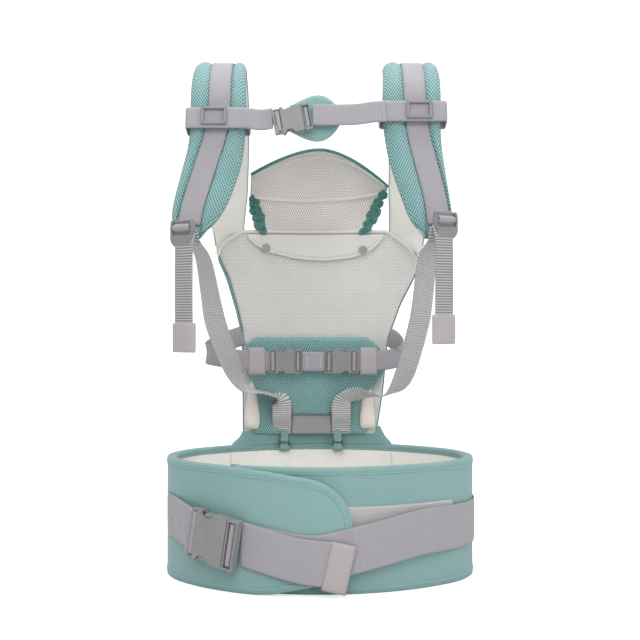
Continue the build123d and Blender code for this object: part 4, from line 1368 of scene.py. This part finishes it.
@dataclass
class ShoulderStraps:
    """Two padded straps over a round arch, with mesh outside in two lobes and pale cloth inside."""

    centre: float = 534.0
    radius: float = 75.0
    lean: float = 12.0
    thick: float = 15.0
    lobe: float = 4.6
    sunk: float = 5.6
    sides: tuple = (
        StrapSide(
            "left",
            ([(630, -147), (500, -147), (431, -163), (410, -166), (398, -162), (389, -152)],
             [(389, -140), (396, -126), (406, -117), (426, -104), (475, -88), (530, -84), (630, -89)]),
            ([(630, -147), (480, -150), (394, -135)], [(412, -100), (455, -93), (520, -90), (630, -89)]),
            ((630, -114), (520, -114), (412, -145.5)),
        ),
        StrapSide(
            "right",
            ([(630, 76), (530, 71), (482, 77), (446, 88), (406, 102), (396, 110), (389, 122)],
             [(389, 132), (398, 142), (410, 148), (430, 145), (500, 136), (630, 139)]),
            ([(630, 76), (500, 88), (455, 88), (412, 90.5)], [(386, 133), (470, 142), (630, 139)]),
            ((630, 107), (520, 108), (420, 131.5)),
        ),
    )

    def side_line(self, offset: float, near_low: float, far_low: float, step: float = 3.0) -> Array:
        """The arch's line in side view: up the near leg, over a round top and down the far leg.

        Args:
            offset: How far out from the strap's outer face.
            near_low: The near leg's lowest height.
            far_low: The far leg's lowest height.
            step: The distance between points.

        Returns:
            Y and Z in drawing millimetres.
        """
        lean, r = np.radians(self.lean), self.radius + offset
        turn = np.linspace(180 - self.lean, self.lean, 90)
        top = np.column_stack([r * np.cos(np.radians(turn)), self.centre + r * np.sin(np.radians(turn))])
        foot = top[0, 1]
        slope = np.tan(lean)
        near = np.array([[top[0, 0] - (foot - near_low) * slope, near_low]])
        far = np.array([[top[-1, 0] + (foot - far_low) * slope, far_low]])
        line = np.vstack([near, top, far])
        return even(line, int(length_along(line)[-1] / step))

    def edges(self, side: StrapSide, line: Array) -> tuple[Array, Array]:
        """The strap's left and right edge at each place of its side view line."""
        near = line[:, 0] < 0
        both = []
        for k in (0, 1):
            value = np.where(near, between(line[:, 1], side.near[k]), between(line[:, 1], side.far[k]))
            both.append(smooth(value, 5))
        return both[0], both[1]

    def webbing_x(self, side: StrapSide, line: Array) -> Array:
        """The face webbing's middle at each place of a side view line."""
        near = line[:, 0] < 0
        top = side.webbing[0][1]
        return smooth(np.where(near, between(line[:, 1], side.webbing), top), 8)

    def strap(self, side: StrapSide) -> None:
        """Makes one padded strap and its face webbing.

        Args:
            side: Which strap.
        """
        line = self.side_line(-self.thick / 2 - self.sunk, side.low, 384)
        drop = ((444 - line[:, 1]) / 34).clip(0, 1) * (line[:, 0] > 0)
        line = line + np.column_stack([16.0 * drop**1.3, 0 * drop])
        left, right = self.edges(side, line)
        middle, half = (left + right) / 2, (right - left) / 2
        path = place(np.column_stack([middle, line]))
        thick = self.thick / 2 * (1 - 0.55 * drop)
        run = length_along(path)
        groove = -(self.webbing_x(side, line) - middle) / half
        half_band = 14.0 / half
        near = smooth((line[:, 0] < 0).astype(float), 25)

        def lobes(along: Array, c: Array, face: Array) -> Array:
            """Two soft swellings beside the webbing, on the outside only, fading on the far leg."""
            centre = np.interp(along, run, groove)
            band = np.interp(along, run, half_band)
            fade = np.interp(along, run, near)
            beside = np.abs(c - centre) - band
            room = np.where(c > centre, 1 - centre, 1 + centre) - band
            share = (beside / room.clip(0.1)).clip(0, 1)
            swell = np.sin(np.pi * share**0.85) ** 0.8
            dip = -0.8 * (beside < 0)
            crease = 0.35 * ripple(along, c * 0.03, 21, 26 * MM)
            return (face > 0) * (self.lobe * swell + dip + crease * (1 - c**4)) * MM * (0.35 + 0.65 * fade)

        sweep = Sweep(
            path, (-1, 0, 0), half * MM, thick * MM, 3.6, 40, round_ends=9 * MM, relief=lobes, heading=(0, 1, 1)
        )
        nodes = (f"shoulder_strap_{side.name}",) + (("shoulder_linings",) if side.name == "left" else ())
        piece = sweep.build(f"shoulder_pad_{side.name}", Look.TEAL_MESH, "panel", nodes, Look.CREAM_CLOTH)
        self.webbing(side)
        self.edge_tape(side, path, half)

    def webbing(self, side: StrapSide) -> None:
        """Makes the narrow webbing in the groove of one strap."""
        line = self.side_line(1.0 - self.sunk, 405, 520)
        path = place(np.column_stack([self.webbing_x(side, line), line]))
        Sweep(path, (-1, 0, 0), 12.5 * MM, 0.8 * MM, 6, 12).build(
            f"shoulder_webbing_{side.name}", Look.WEBBING, "panel", (f"strap_face_webbing_{side.name}",)
        )
        ahead = unit(np.gradient(path, axis=0))
        out = unit(np.cross(ahead, (-1.0, 0, 0)))
        for word, sign in (("a", -1), ("b", 1)):
            edge = path + out * 0.9 * MM + np.array([sign * 10.4 * MM, 0, 0])
            stitches(f"shoulder_stitches_{side.name}_{word}", edge[:-1], out[:-1], Look.GREY_THREAD, "panel")

    def edge_tape(self, side: StrapSide, path: Array, half: Array) -> None:
        """Makes the dark seam roll between the strap's mesh and its lining."""
        for word, sign in (("left", -1), ("right", 1)):
            line = path[4:-4] + np.array([1.0, 0, 0]) * (sign * (half[4:-4] - 0.9) * MM)[:, None]
            Sweep(line, (1, 0, 0), 1.7 * MM, 2.2 * MM, 2.2, 8).build(
                f"shoulder_seam_{side.name}_{word}", Look.TEAL_BINDING, "panel"
            )

    def build(self) -> None:
        """Makes both straps."""
        for side in self.sides:
            self.strap(side)


# Back strap -----------------------------------------------------------------------------------


@dataclass
class BackStrap:
    """The strap that joins the shoulder straps behind the neck."""

    lean: float = 12.0
    height: float = 525.0
    width: float = 25.0

    def plane(self, x: float, z: float) -> Plane:
        """The plane of the near legs' outer faces: x across, y up the leg, z out of it."""
        lean = np.radians(self.lean)
        foot_y, foot_z = -75 * np.cos(lean), 534 + 75 * np.sin(lean)
        origin = place([x, foot_y - (foot_z - z) * np.tan(lean), z])
        up = np.array([0, np.sin(lean), np.cos(lean)])
        return Plane(origin, np.array([1.0, 0, 0]), up, np.array([0, -np.cos(lean), np.sin(lean)]))

    def ring(self, name: str, left: float, right: float, rise: float, nodes: Sequence[str]) -> None:
        """Makes webbing wrapped round one strap: a rounded box seen along the leg."""
        plane = self.plane(0, self.height + rise)
        near, far, r = 3.4, -19.5, 3.0
        corner = np.radians(np.linspace(0, 90, 7))
        outline = []
        for k, (x, z) in enumerate(((right, near), (left, near), (left, far), (right, far))):
            inward = np.array([(-1, -1), (1, -1), (1, 1), (-1, 1)][k]) * r
            turn = corner + k * np.pi / 2
            outline.append(np.array([x, z]) + inward + r * np.column_stack([np.cos(turn), np.sin(turn)]))
        loop = np.vstack(outline)
        loop = even(np.vstack([loop, loop[:1]]), 121)[:-1]
        local = np.column_stack([loop[:, 0], np.zeros(120), loop[:, 1]]) * MM
        path = plane.out(local)
        Sweep(path, plane.y, self.width / 2 * MM, 0.8 * MM, 6, 8, closed=True).build(
            name, Look.WEBBING, "back_strap", nodes
        )

    def band(self, name: str, stations: Sequence, rise: float, body: str, nodes: Sequence[str]) -> None:
        """Makes straight webbing in the legs' plane through (x, y, height) stations."""
        plane = self.plane(0, self.height + rise)
        path = plane.out(curve(stations, 60) * MM)
        Sweep(path, plane.y, self.width / 2 * MM, 0.8 * MM, 6, 10).build(name, Look.WEBBING, body, nodes)

    def pad(self) -> None:
        """Makes the leaf-shaped pad behind the buckle: narrow at the left and round at the right."""
        plane = self.plane(0, self.height)
        t = np.linspace(0, 1, 56)
        x = -58.0 + 83.5 * t
        half = 27.5 * np.sin(np.pi * t**1.75).clip(0.0) ** 0.72 + 5.0 * (1 - t) ** 2
        half = smooth(half.clip(2.5), 1)
        local = np.column_stack([x, 1.0 + 2.0 * t, np.full(56, -3.6)]) * MM

        def crown(along: Array, c: Array, side: Array) -> Array:
            """The pad is fullest in its middle and flat at the sewn edge."""
            middle = np.sin(np.pi * (along / along.max()).clip(0.02, 0.98)) ** 0.6
            return 1.4 * MM * (1 - c**4) * middle * side

        sweep = Sweep(
            plane.out(local), plane.y, half * MM, 2.4 * MM, 3, 24, round_ends=5 * MM, relief=crown, heading=(1, 0, 0)
        )
        piece = sweep.build("back_pad_cloth", Look.TEAL_CLOTH, "back_strap", ("back_pad",))
        inset = 5.5
        keep = slice(14, -4)
        top = np.column_stack([x[keep], (3.0 + half - inset)[keep]])
        low = np.column_stack([x[keep], (1.5 - half + inset)[keep]])[::-1]
        line = np.vstack([top, [(x[-1] - inset, 2.0)], low])
        path = plane.out(np.column_stack([line, np.full(len(line), -0.1)]) * MM)
        stitches("back_pad_stitches", even(path, 160), plane.z, Look.THREAD, "back_strap")

    def slider(self, name: str, x: float, rise: float, nodes: Sequence[str]) -> None:
        """Makes a slider: a rounded frame with one window over the webbing."""
        plane = self.plane(x, self.height + rise)
        piece = Moulding(name, plane, 0.9 * MM)
        wide, high, low, top = 14.5 * MM, 10.5 * MM, 3.6 * MM, 7.6 * MM
        bar, rail = 3.2 * MM, 3.6 * MM
        piece.plate((-wide, high - bar, low), (wide, high, top), 1.5 * MM)
        piece.plate((-wide, -high, low), (wide, -high + bar, top), 1.5 * MM)
        piece.plate((-wide, -high, low), (-wide + rail, high, top), 1.6 * MM)
        piece.plate((wide - rail, -high, low), (wide, high, top), 1.6 * MM)
        piece.build(Look.PLASTIC, "back_strap", nodes)

    def build(self) -> None:
        """Makes the rings, webbings, sliders and pad."""
        self.ring("back_ring_left_band", -150.5, -79.5, 0, ("back_webbing_left",))
        self.ring("back_ring_right_band", 67.5, 142.5, 8, ("back_ring_right",))
        left = [(-92, 0, 3.2), (-80, -0.5, 3.0), (-70, -2.0, 3.0), (-62, -2.5, 4.0), (-53, -2.0, 7.0)]
        self.band("back_band_left", left, 0, "back_strap", ())
        right = [(-8, -3.0, 9.2), (12, -3.0, 9.0), (40, -2.0, 8.4), (60, 1.5, 7.0), (74, 3.0, 5.0)]
        self.band("back_band_right", right, 4, "back_male", ("back_webbing_right",))
        for word, x in (("a", 63.0), ("b", 66.0)):
            plane = self.plane(x, self.height + 4)
            line = np.column_stack([np.zeros(20), np.linspace(-9, 13, 20), np.full(20, 7.9)]) * MM
            stitches(f"back_band_stitches_{word}", plane.out(line), plane.z, Look.PALE_THREAD, "back_male")
        self.pad()
        self.slider("slider_left", -119.0, 2, ("triglides",))
        self.slider("slider_right", 111.5, 9, ())


# Hood -----------------------------------------------------------------------------------------


@dataclass
class Hood:
    """The head support: a bowl that rises from the panel, creases, and arches over as a visor."""

    centre_y: float = 57.0
    centre_z: float = 448.0
    radius: float = 66.5
    low: float = 413.0
    crease: float = 0.46
    rim_top: float = 514.0

    def surface(self, share: Array, across: Array, offset: float = 0.0) -> Array:
        """The hood as a function of height and width. Height goes from the panel's top over the
        crease to the arched rim; the wall follows a cylinder and its sides come forward.

        Args:
            share: From 0 at the panel to 1 at the rim.
            across: From -1 at the left side to 1 at the right side.
            offset: How far outside the sheet, in millimetres.

        Returns:
            Places in the frame.
        """
        rim = self.rim_top - np.where(across < 0, 27.0, 42.0) * np.abs(across) ** 2.0
        crease = 456.0 + 7.0 * across**2 + 3.0 * across
        lower = self.low + (crease - self.low) * (share / self.crease).clip(0, 1)
        z = lower + (rim - crease) * ((share - self.crease) / (1 - self.crease)).clip(0, 1)
        left = between(share, [(0, -78), (0.15, -83), (0.3, -89), (self.crease, -91), (1, -89)])
        right = between(share, [(0, 62), (0.15, 70), (0.3, 78), (self.crease, 87), (1, 88.5)])
        x = (left + right) / 2 + (right - left) / 2 * across
        r = self.radius + offset
        y = self.centre_y + np.sqrt((r**2 - (z - self.centre_z) ** 2).clip(90))
        tuck = 3.5 * np.exp(-(((share - self.crease) / 0.035) ** 2)) * (1 - across**6)
        y = y - 15.0 * np.abs(across) ** 3.4 - tuck * 0.6
        return place(np.stack([x, y, z - 0.3 * tuck], axis=-1))

    def sheet(self) -> None:
        """Makes the hood's cloth as a closed thin shell, with a plainer band above the crease."""
        rows, columns = 72, 84
        share = np.linspace(0, 1, rows)[:, None] * np.ones(columns)
        across = np.linspace(-1, 1, columns)[None] * np.ones((rows, 1))
        low = share < self.crease
        gather = 1.0 * np.sin(share * 150 + across * 5) * (np.abs(across) > 0.8) * low
        wave = (0.5 + 1.3 * low) * ripple(share * 0.12, across * 0.09, 31, 50 * MM)
        shift = ((gather + wave) * MM * (1 - across**8))[..., None] * np.array([0, -1.0, 0.2])
        inner = self.surface(share, across, -0.7) + shift
        outer = self.surface(share, across, 0.7) + shift
        piece = make_shell("hood_cloth", inner, outer, Look.DARK_TEAL, "hood", ("hood_shell",), Look.HOOD_CLOTH)

    def trims(self) -> None:
        """Makes the plain bands, the rim's elastic and the gathered side bands."""
        for name, first, last, half in (
            ("hood_crease_band", self.crease + 0.015, self.crease + 0.015, 2.4), ("hood_visor_edge", 0.955, 0.955, 2.6),
        ):
            across = np.linspace(-0.97, 0.97, 90)
            path = self.surface(np.linspace(first, last, 90), across, -1.1)
            Sweep(path, (0, 0.3, 1), half * MM, 0.7 * MM, 3, 8).build(name, Look.HOOD_BAND, "hood")
        line = self.surface(np.full(160, 1.0), np.linspace(-1, 1, 160))
        Sweep(line, (0, 1, 0), 2.2 * MM, 2.0 * MM, 2.2, 10).build("hood_rim", Look.DARK_TEAL, "hood")

        def gathers(along: Array, c: Array, side: Array) -> Array:
            """Deep uneven pleats of gathered elastic."""
            pleat = np.sin(along * 2 * np.pi / (4.6 * MM) + 1.2 * np.sin(along * 900))
            return 1.3 * MM * pleat * (1 - np.abs(c) ** 3) * side

        for word, sign, low, high in (("left", -1.0, 0.0, 0.47), ("right", 1.0, 0.0, 0.50)):
            share = np.linspace(low, high, 150)
            wobble = 0.05 + 0.035 * np.sin(share * 70 + sign) + 0.02 * np.sin(share * 131)
            path = self.surface(share, sign * (1.0 - wobble), -1.4)
            width = (6.4 + 1.2 * np.sin(share * 90 + 1)) * between(share, [(0, 0.75), (0.2, 1), (0.5, 0.45)]) * MM
            Sweep(path, (1, -0.5 * sign, 0), width, 2.0 * MM, 2.2, 12, relief=gathers).build(
                f"hood_elastic_{word}", Look.DARK_TEAL, "hood"
            )

    def build(self) -> None:
        """Makes the hood."""
        self.sheet()
        self.trims()


# Locks and tails ------------------------------------------------------------------------------


@dataclass
class LocksAndTails:
    """The two ladder locks and the webbing tails that hang from them."""

    turn: float = 32.0
    drop: float = 125.0
    places: tuple = (("left", -1, (-147, -119.5, 396)), ("right", 1, (134, -119.5, 405)))

    def plane(self, side: int, at: Sequence[float]) -> Plane:
        """A lock's back plane: x across the webbing, y up, z out of its face."""
        t = np.radians(self.turn)
        x = np.array([np.cos(t), side * np.sin(t), 0])
        return Plane(place(at), x, np.array([0, 0, 1.0]), np.array([side * np.sin(t), -np.cos(t), 0]))

    def tail(self, word: str, side: int, at: Sequence[float]) -> None:
        """Makes one ribbed tail with a slight curl and its folded, sewn end."""
        plane = self.plane(side, at)
        y = np.linspace(-4.0, -5 - self.drop + 8, 60)
        share = (y[0] - y) / (y[0] - y[-1])
        bend = 0.8 * np.sin(share * np.pi) - 5.0 * (1 - (share / 0.13).clip(0, 1)) ** 1.5
        path = plane.out(np.column_stack([np.full(60, -5.0 * side), y, 6.8 + bend]) * MM)
        # The tail takes the darker copy of the ribbed webbing, which is painted shade.
        Sweep(path, plane.x, 12.3 * MM, 0.8 * MM, 6, 10).build(
            f"hanging_tail_{word}", Look.RIBBED_TAIL, f"tail_{word}", (f"tail_webbing_{word}",)
        )
        low, high = (box[2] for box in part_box(f"tail_keeper_{word}"))
        middle = (low + high) / 2
        z = np.linspace(high, low, 24)
        at_z = np.column_stack([np.full(24, -5.0 * side), (z - plane.origin[2]) / MM, np.full(24, 6.8)])
        path = plane.out(at_z * MM)
        Sweep(path, plane.x, 15.4 * MM, 3.4 * MM, 3.2, 12, round_ends=3 * MM).build(
            f"hanging_keeper_{word}", Look.KEEPER, f"tail_{word}", (f"tail_keeper_{word}",)
        )
        log.info("keeper %s at height %.3f", word, middle)

    def lock(self, word: str, side: int, at: Sequence[float]) -> None:
        """Makes one ladder lock: two curved rails, three bars and a round lip, and its webbing."""
        plane = self.plane(side, at)
        piece = Moulding(f"strap_lock_{word}", plane, 0.7 * MM)
        for sign in (-1, 1):
            y = np.linspace(-10, 11, 16)
            outer = 14.2 + 1.3 * np.cos((y - 0.5) / 21 * np.pi)
            line = np.vstack([
                np.column_stack([sign * outer, y]), np.column_stack([sign * (outer - 2.8), y])[::-1]
            ])
            piece.outline(line[::sign] * MM, 0.0, 6.2 * MM)
        for low, high, near, far in ((8.2, 11, 0.4, 4.6), (2.2, 4.6, 1.2, 6.0), (-4.6, -2.2, 0.2, 4.2)):
            piece.plate((-13.5 * MM, low * MM, near * MM), (13.5 * MM, high * MM, far * MM))
        turn = np.radians(np.linspace(0, 180, 25))
        lip = np.column_stack([14.4 * np.cos(turn), -7.5 - 12.5 * np.sin(turn)])
        lip = np.vstack([[(-14.4, -5.0)], lip[::-1], [(14.4, -5.0)]])
        piece.outline(lip * MM, 4.4 * MM, 7.6 * MM)
        piece.build(Look.PLASTIC, f"lock_{word}", (f"ladder_lock_{word}",))
        path = plane.out(curve([(0, 12, 1.5), (0, 7, 3.2), (0, 4.5, 7.0), (0, 1.2, 6.8), (0, -2, 3.0)], 40) * MM)
        Sweep(path, plane.x, 11.6 * MM, 0.8 * MM, 6, 8).build(f"lock_webbing_{word}", Look.WEBBING, f"lock_{word}")

    def build(self) -> None:
        """Makes the tails and the locks."""
        for word, side, at in self.places:
            self.tail(word, side, at)
            self.lock(word, side, at)


# Buckles --------------------------------------------------------------------------------------


@dataclass(frozen=True)
class BuckleSize:
    """A side-release buckle's sizes in millimetres: webbing, whole width, socket length, the
    socket's bar section, the other half's base, and thickness."""

    web: float
    wide: float
    body: float
    bar: float
    base: float
    thick: float


@dataclass(frozen=True)
class BucklePlace:
    """Where one buckle goes: its plane, its size and the names of its pieces and bodies."""

    word: str
    plane: Plane
    size: BuckleSize
    nodes: tuple[str, str, str, str]
    bodies: tuple[str, str, str, str]


WIDE_BUCKLE = BuckleSize(50, 56, 39, 10, 14, 12)
NARROW_BUCKLE = BuckleSize(25, 31, 23.5, 10, 9, 8)


@dataclass
class Buckles:
    """The side-release buckles, built from plates: skins with round side notches, walls, bars,
    a base with a webbing window, a guide and two sprung arms."""

    wall: float = 3.0
    skin: float = 2.0

    def places(self) -> list[BucklePlace]:
        """Works out the four buckles' planes and names."""
        straps = BackStrap()
        back = straps.plane(-19, straps.height - 2).moved(z=4 * MM).turned(10)
        found = [
            BucklePlace(
                "waist", waist_buckle_plane(), WIDE_BUCKLE,
                ("waist_buckle_female", "waist_buckle_male", "waist_latch_upper", "waist_latch_lower"),
                ("belt", "waist_male", "waist_latch_upper", "waist_latch_lower"),
            ),
            BucklePlace(
                "back", back, NARROW_BUCKLE,
                ("back_buckle_female", "back_buckle_male", "back_latch_upper", "back_latch_lower"),
                ("back_strap", "back_male", "back_latch_upper", "back_latch_lower"),
            ),
        ]
        for word, x, sign in (("left", -32.3, 1.0), ("right", 15.7, -1.0)):
            plane = Plane(place([x, 84, 246]), np.array([sign, 0, 0]), np.array([0, 0, sign]), np.array([0, -1.0, 0]))
            arms = (f"lumbar_latch_{word}_upper", f"lumbar_latch_{word}_lower")
            arms = arms if sign > 0 else arms[::-1]
            found.append(BucklePlace(
                f"lumbar_{word}", plane, NARROW_BUCKLE,
                (f"lumbar_female_{word}", f"lumbar_male_{word}", *arms), (f"lumbar_female_{word}", "panel", *arms),
            ))
        return found

    def notched(self, size: BuckleSize, trim: float) -> Array:
        """The socket's outline: round bites in both sides and a waist towards the webbing.

        Args:
            size: The buckle's sizes.
            trim: How far inside the full outline.

        Returns:
            Points in plan, in millimetres, turning left.
        """
        half, body = size.wide / 2 - trim, size.body
        bite = size.wide * 0.165
        at = -body + bite * 1.35
        turn = np.radians(np.linspace(12, 168, 15))
        arc_x, arc_y = at + bite * np.cos(turn), half + bite * 0.25 - bite * np.sin(turn)
        mouth = [(-trim, half - 1.2), (-1.2 - trim, half)]
        end = [(-body - 1.0, half + 0.2), (-body - size.bar + trim, half - 0.8)]
        upper = np.vstack([mouth, np.column_stack([arc_x, arc_y]), end])
        return np.vstack([upper, (upper * [1, -1])[::-1]])

    def socket(self, at: BucklePlace) -> None:
        """Makes the socket half."""
        size, piece = at.size, Moulding(f"{at.word}_socket", at.plane, 0.55 * MM)
        full = self.notched(size, 0.0)
        body = full[full[:, 0] >= -size.body - 1.5]
        for low, high in ((0, self.skin), (size.thick - self.skin, size.thick)):
            piece.outline(body * MM, low * MM, high * MM)
        half, deep = size.wide / 2, size.thick - self.skin
        bite = size.wide * 0.165
        notch = (-size.body + bite * 0.35, -size.body + bite * 2.35)
        for sign in (-1, 1):
            y0, y1 = sorted((sign * (half - 0.3), sign * (half - self.wall)))
            for x0, x1 in ((notch[1], -0.4), (-size.body, notch[0])):
                piece.plate((x0 * MM, y0 * MM, self.skin * MM), (x1 * MM, y1 * MM, deep * MM))
            y0, y1 = sorted((sign * (half - 0.6), sign * (size.web / 2 + 0.4)))
            x0, x1 = -size.body - size.bar, -size.body + 1
            piece.plate((x0 * MM, y0 * MM, self.skin * MM), (x1 * MM, y1 * MM, deep * MM), 0.8 * MM)
        x0 = -size.body
        piece.plate((x0 * MM, -half * 0.9 * MM, 1 * MM), ((x0 + 2) * MM, half * 0.9 * MM, (size.thick - 1) * MM))
        x0 = -size.body - size.bar
        piece.plate((x0 * MM, (-half + 2) * MM, self.skin * MM), ((x0 + 2.6) * MM, (half - 2) * MM, deep * MM))
        piece.build(Look.PLASTIC, at.bodies[0], at.nodes[:1])
        if at.word != "waist":
            y = np.linspace(-size.web / 2, size.web / 2, 24)
            line = np.column_stack([np.full(24, -size.body - size.bar * 0.42), y, np.full(24, size.thick * 0.5)])
            roll = Sweep(at.plane.out(line * MM), at.plane.x, 2.9 * MM, (size.thick / 2 - 0.6) * MM, 2.4, 12)
            roll.round_ends = 0.8 * MM
            roll.build(f"{at.word}_socket_webbing", Look.WEBBING, at.bodies[0])

    def plug(self, at: BucklePlace) -> None:
        """Makes the other half's base and guide, with webbing round its bar."""
        size, piece = at.size, Moulding(f"{at.word}_plug", at.plane, 0.6 * MM)
        half, thick, base = size.wide / 2, size.thick, size.base
        rail = half - size.web / 2 - 0.4
        for sign in (-1, 1):
            y0, y1 = sorted((sign * half, sign * (half - rail)))
            piece.plate((0.3 * MM, y0 * MM, 0.4 * MM), (base * MM, y1 * MM, (thick - 0.2) * MM), 0.9 * MM)
        ends = ((0.3, 0.3 + base * 0.16), (base * 0.84, base))
        for x0, x1 in ends:
            piece.plate((x0 * MM, (-half + 1) * MM, 0.8 * MM), (x1 * MM, (half - 1) * MM, (thick - 0.8) * MM))
        room = self.skin + 0.6
        reach = size.body - 3 * self.wall
        piece.plate((-reach * MM, -3 * MM, room * MM), (1 * MM, 3 * MM, (thick - room) * MM), 1.2 * MM)
        piece.build(Look.PLASTIC, at.bodies[1], at.nodes[1:2])
        y = np.linspace(-size.web / 2, size.web / 2, 24)
        middle = base * 0.47
        line = at.plane.out(np.column_stack([np.full(24, middle), y, np.full(24, thick * 0.5)]) * MM)
        Sweep(line, at.plane.x, base * 0.26 * MM, (thick / 2 - 1.6) * MM, 2.6, 12, round_ends=0.8 * MM).build(
            f"{at.word}_plug_webbing", Look.WEBBING, at.bodies[1]
        )

    def arm(self, at: BucklePlace, side: int) -> None:
        """Makes one sprung arm, whose round finger rest fills the socket's notch.

        Args:
            at: The buckle.
            side: 1 for the arm at positive y, or -1.
        """
        size = at.size
        outside, arm = size.wide / 2 - self.wall - 0.8, size.wide / 13
        reach, bite = size.body - 2 * self.wall, size.wide * 0.165
        x = np.linspace(-reach, -0.6, 40)
        centre = -size.body + bite * 1.45
        bulge = (self.wall - 0.6) * np.exp(-(((x - centre) / (bite * 0.62)) ** 4))
        outer = outside + bulge
        tip = 1.0 * np.exp(-(((x + reach) / 1.2) ** 2))
        line = np.vstack([np.column_stack([x, outer - tip]), np.column_stack([x, np.full(40, outside - arm)])[::-1]])
        line = line * [1, side]
        room = self.skin + 0.5
        name = f"{at.word}_arm_{'upper' if side > 0 else 'lower'}"
        k = 2 if side > 0 else 3
        Moulding(name, at.plane, 0.4 * MM).outline(line[::-side] * MM, room * MM, (size.thick - room) * MM).build(
            Look.PLASTIC, at.bodies[k], at.nodes[k:k + 1]
        )

    def build(self) -> None:
        """Makes every buckle."""
        for at in self.places():
            self.socket(at)
            self.plug(at)
            self.arm(at, 1)
            self.arm(at, -1)


# Stage ----------------------------------------------------------------------------------------


@dataclass
class Stage:
    """The pale floor that turns up into a backdrop, the lamps and the camera."""

    camera_at: tuple[float, float, float] = (0.0, -1.2433, 0.299)
    lens: float = 58.6

    def floor(self) -> None:
        """Makes the floor: flat, then a quarter circle, then a wall."""
        turn = np.radians(np.linspace(0, 90, 24))
        bend = np.column_stack([2.2 + 0.8 * np.sin(turn), 0.8 - 0.8 * np.cos(turn)])
        side = np.vstack([[(-6.0, 0.0), (0.0, 0.0)], bend, [(3.0, 6.0)]])
        x = np.array([-7.0, 7.0])
        points = np.concatenate([np.column_stack([np.full(len(side), v), side]) for v in x])
        n = len(side)
        i = np.arange(n - 1)
        faces = np.column_stack([i, i + 1, i + n + 1, i + n])
        mesh = bpy.data.meshes.new("floor")
        mesh.from_pydata(points.tolist(), [], faces[:, ::-1].tolist())
        mesh.shade_smooth()
        piece = bpy.data.objects.new("floor", mesh)
        bpy.context.scene.collection.objects.link(piece)
        shader = Shader("pale_floor")
        path = shader.tree.nodes.new("ShaderNodeLightPath")
        seen = shader.maths("MAXIMUM", path.outputs["Is Camera Ray"], path.outputs["Is Glossy Ray"])
        seen = shader.maths("MAXIMUM", seen, path.outputs["Is Transmission Ray"])
        strength = shader.maths("MULTIPLY", seen, 0.62)
        shader.tree.links.new(strength, shader.surface.inputs["Emission Strength"])
        shader.surface.inputs["Emission Color"].default_value = (1, 1, 1, 1)
        shader.surface.inputs["Base Color"].default_value = linear((0.88, 0.88, 0.88))
        shader.surface.inputs["Roughness"].default_value = 0.9
        shader.surface.inputs["Specular IOR Level"].default_value = 0.1
        mesh.materials.append(shader.material)

    def lamp(self, name: str, at: Sequence[float], aim: Sequence[float], size: float, power: float) -> None:
        """Adds a soft square lamp aimed at a place."""
        light = bpy.data.lights.new(name, "AREA")
        light.size = size
        light.energy = power
        lamp = bpy.data.objects.new(name, light)
        lamp.location = at
        lamp.rotation_euler = (Vector(aim) - Vector(at)).to_track_quat("-Z", "Y").to_euler()
        bpy.context.scene.collection.objects.link(lamp)

    def build(self) -> None:
        """Makes the stage."""
        scene = bpy.context.scene
        self.floor()
        self.lamp("key", (-0.5, -2.1, 1.9), (0, 0, 0.3), 1.8, 29)
        self.lamp("fill", (1.6, -1.7, 1.0), (0, 0, 0.3), 1.8, 15)
        self.lamp("top", (0.0, 0.1, 2.3), (0, 0.05, 0.2), 1.4, 34)
        world = bpy.data.worlds.new("studio")
        world.use_nodes = True
        world.node_tree.nodes["Background"].inputs["Color"].default_value = (1, 1, 1, 1)
        world.node_tree.nodes["Background"].inputs["Strength"].default_value = 0.5
        scene.world = world
        lens = bpy.data.cameras.new("camera")
        lens.lens = self.lens
        lens.sensor_width = 36
        camera = bpy.data.objects.new("camera", lens)
        camera.location = self.camera_at
        camera.rotation_euler = (np.pi / 2, 0, 0)
        scene.collection.objects.link(camera)
        scene.camera = camera
        scene.view_settings.view_transform = "Standard"


def main() -> None:
    """Builds every sub-assembly in order."""
    logging.basicConfig(level=logging.INFO, format="%(name)s: %(message)s")
    for part in (
        Stage(), Belt(), WaistStrap(), Panel(), PanelWebbings(), ShoulderStraps(), BackStrap(), Hood(),
        LocksAndTails(), Buckles(),
    ):
        part.build()


if __name__ == "__main__":
    main()
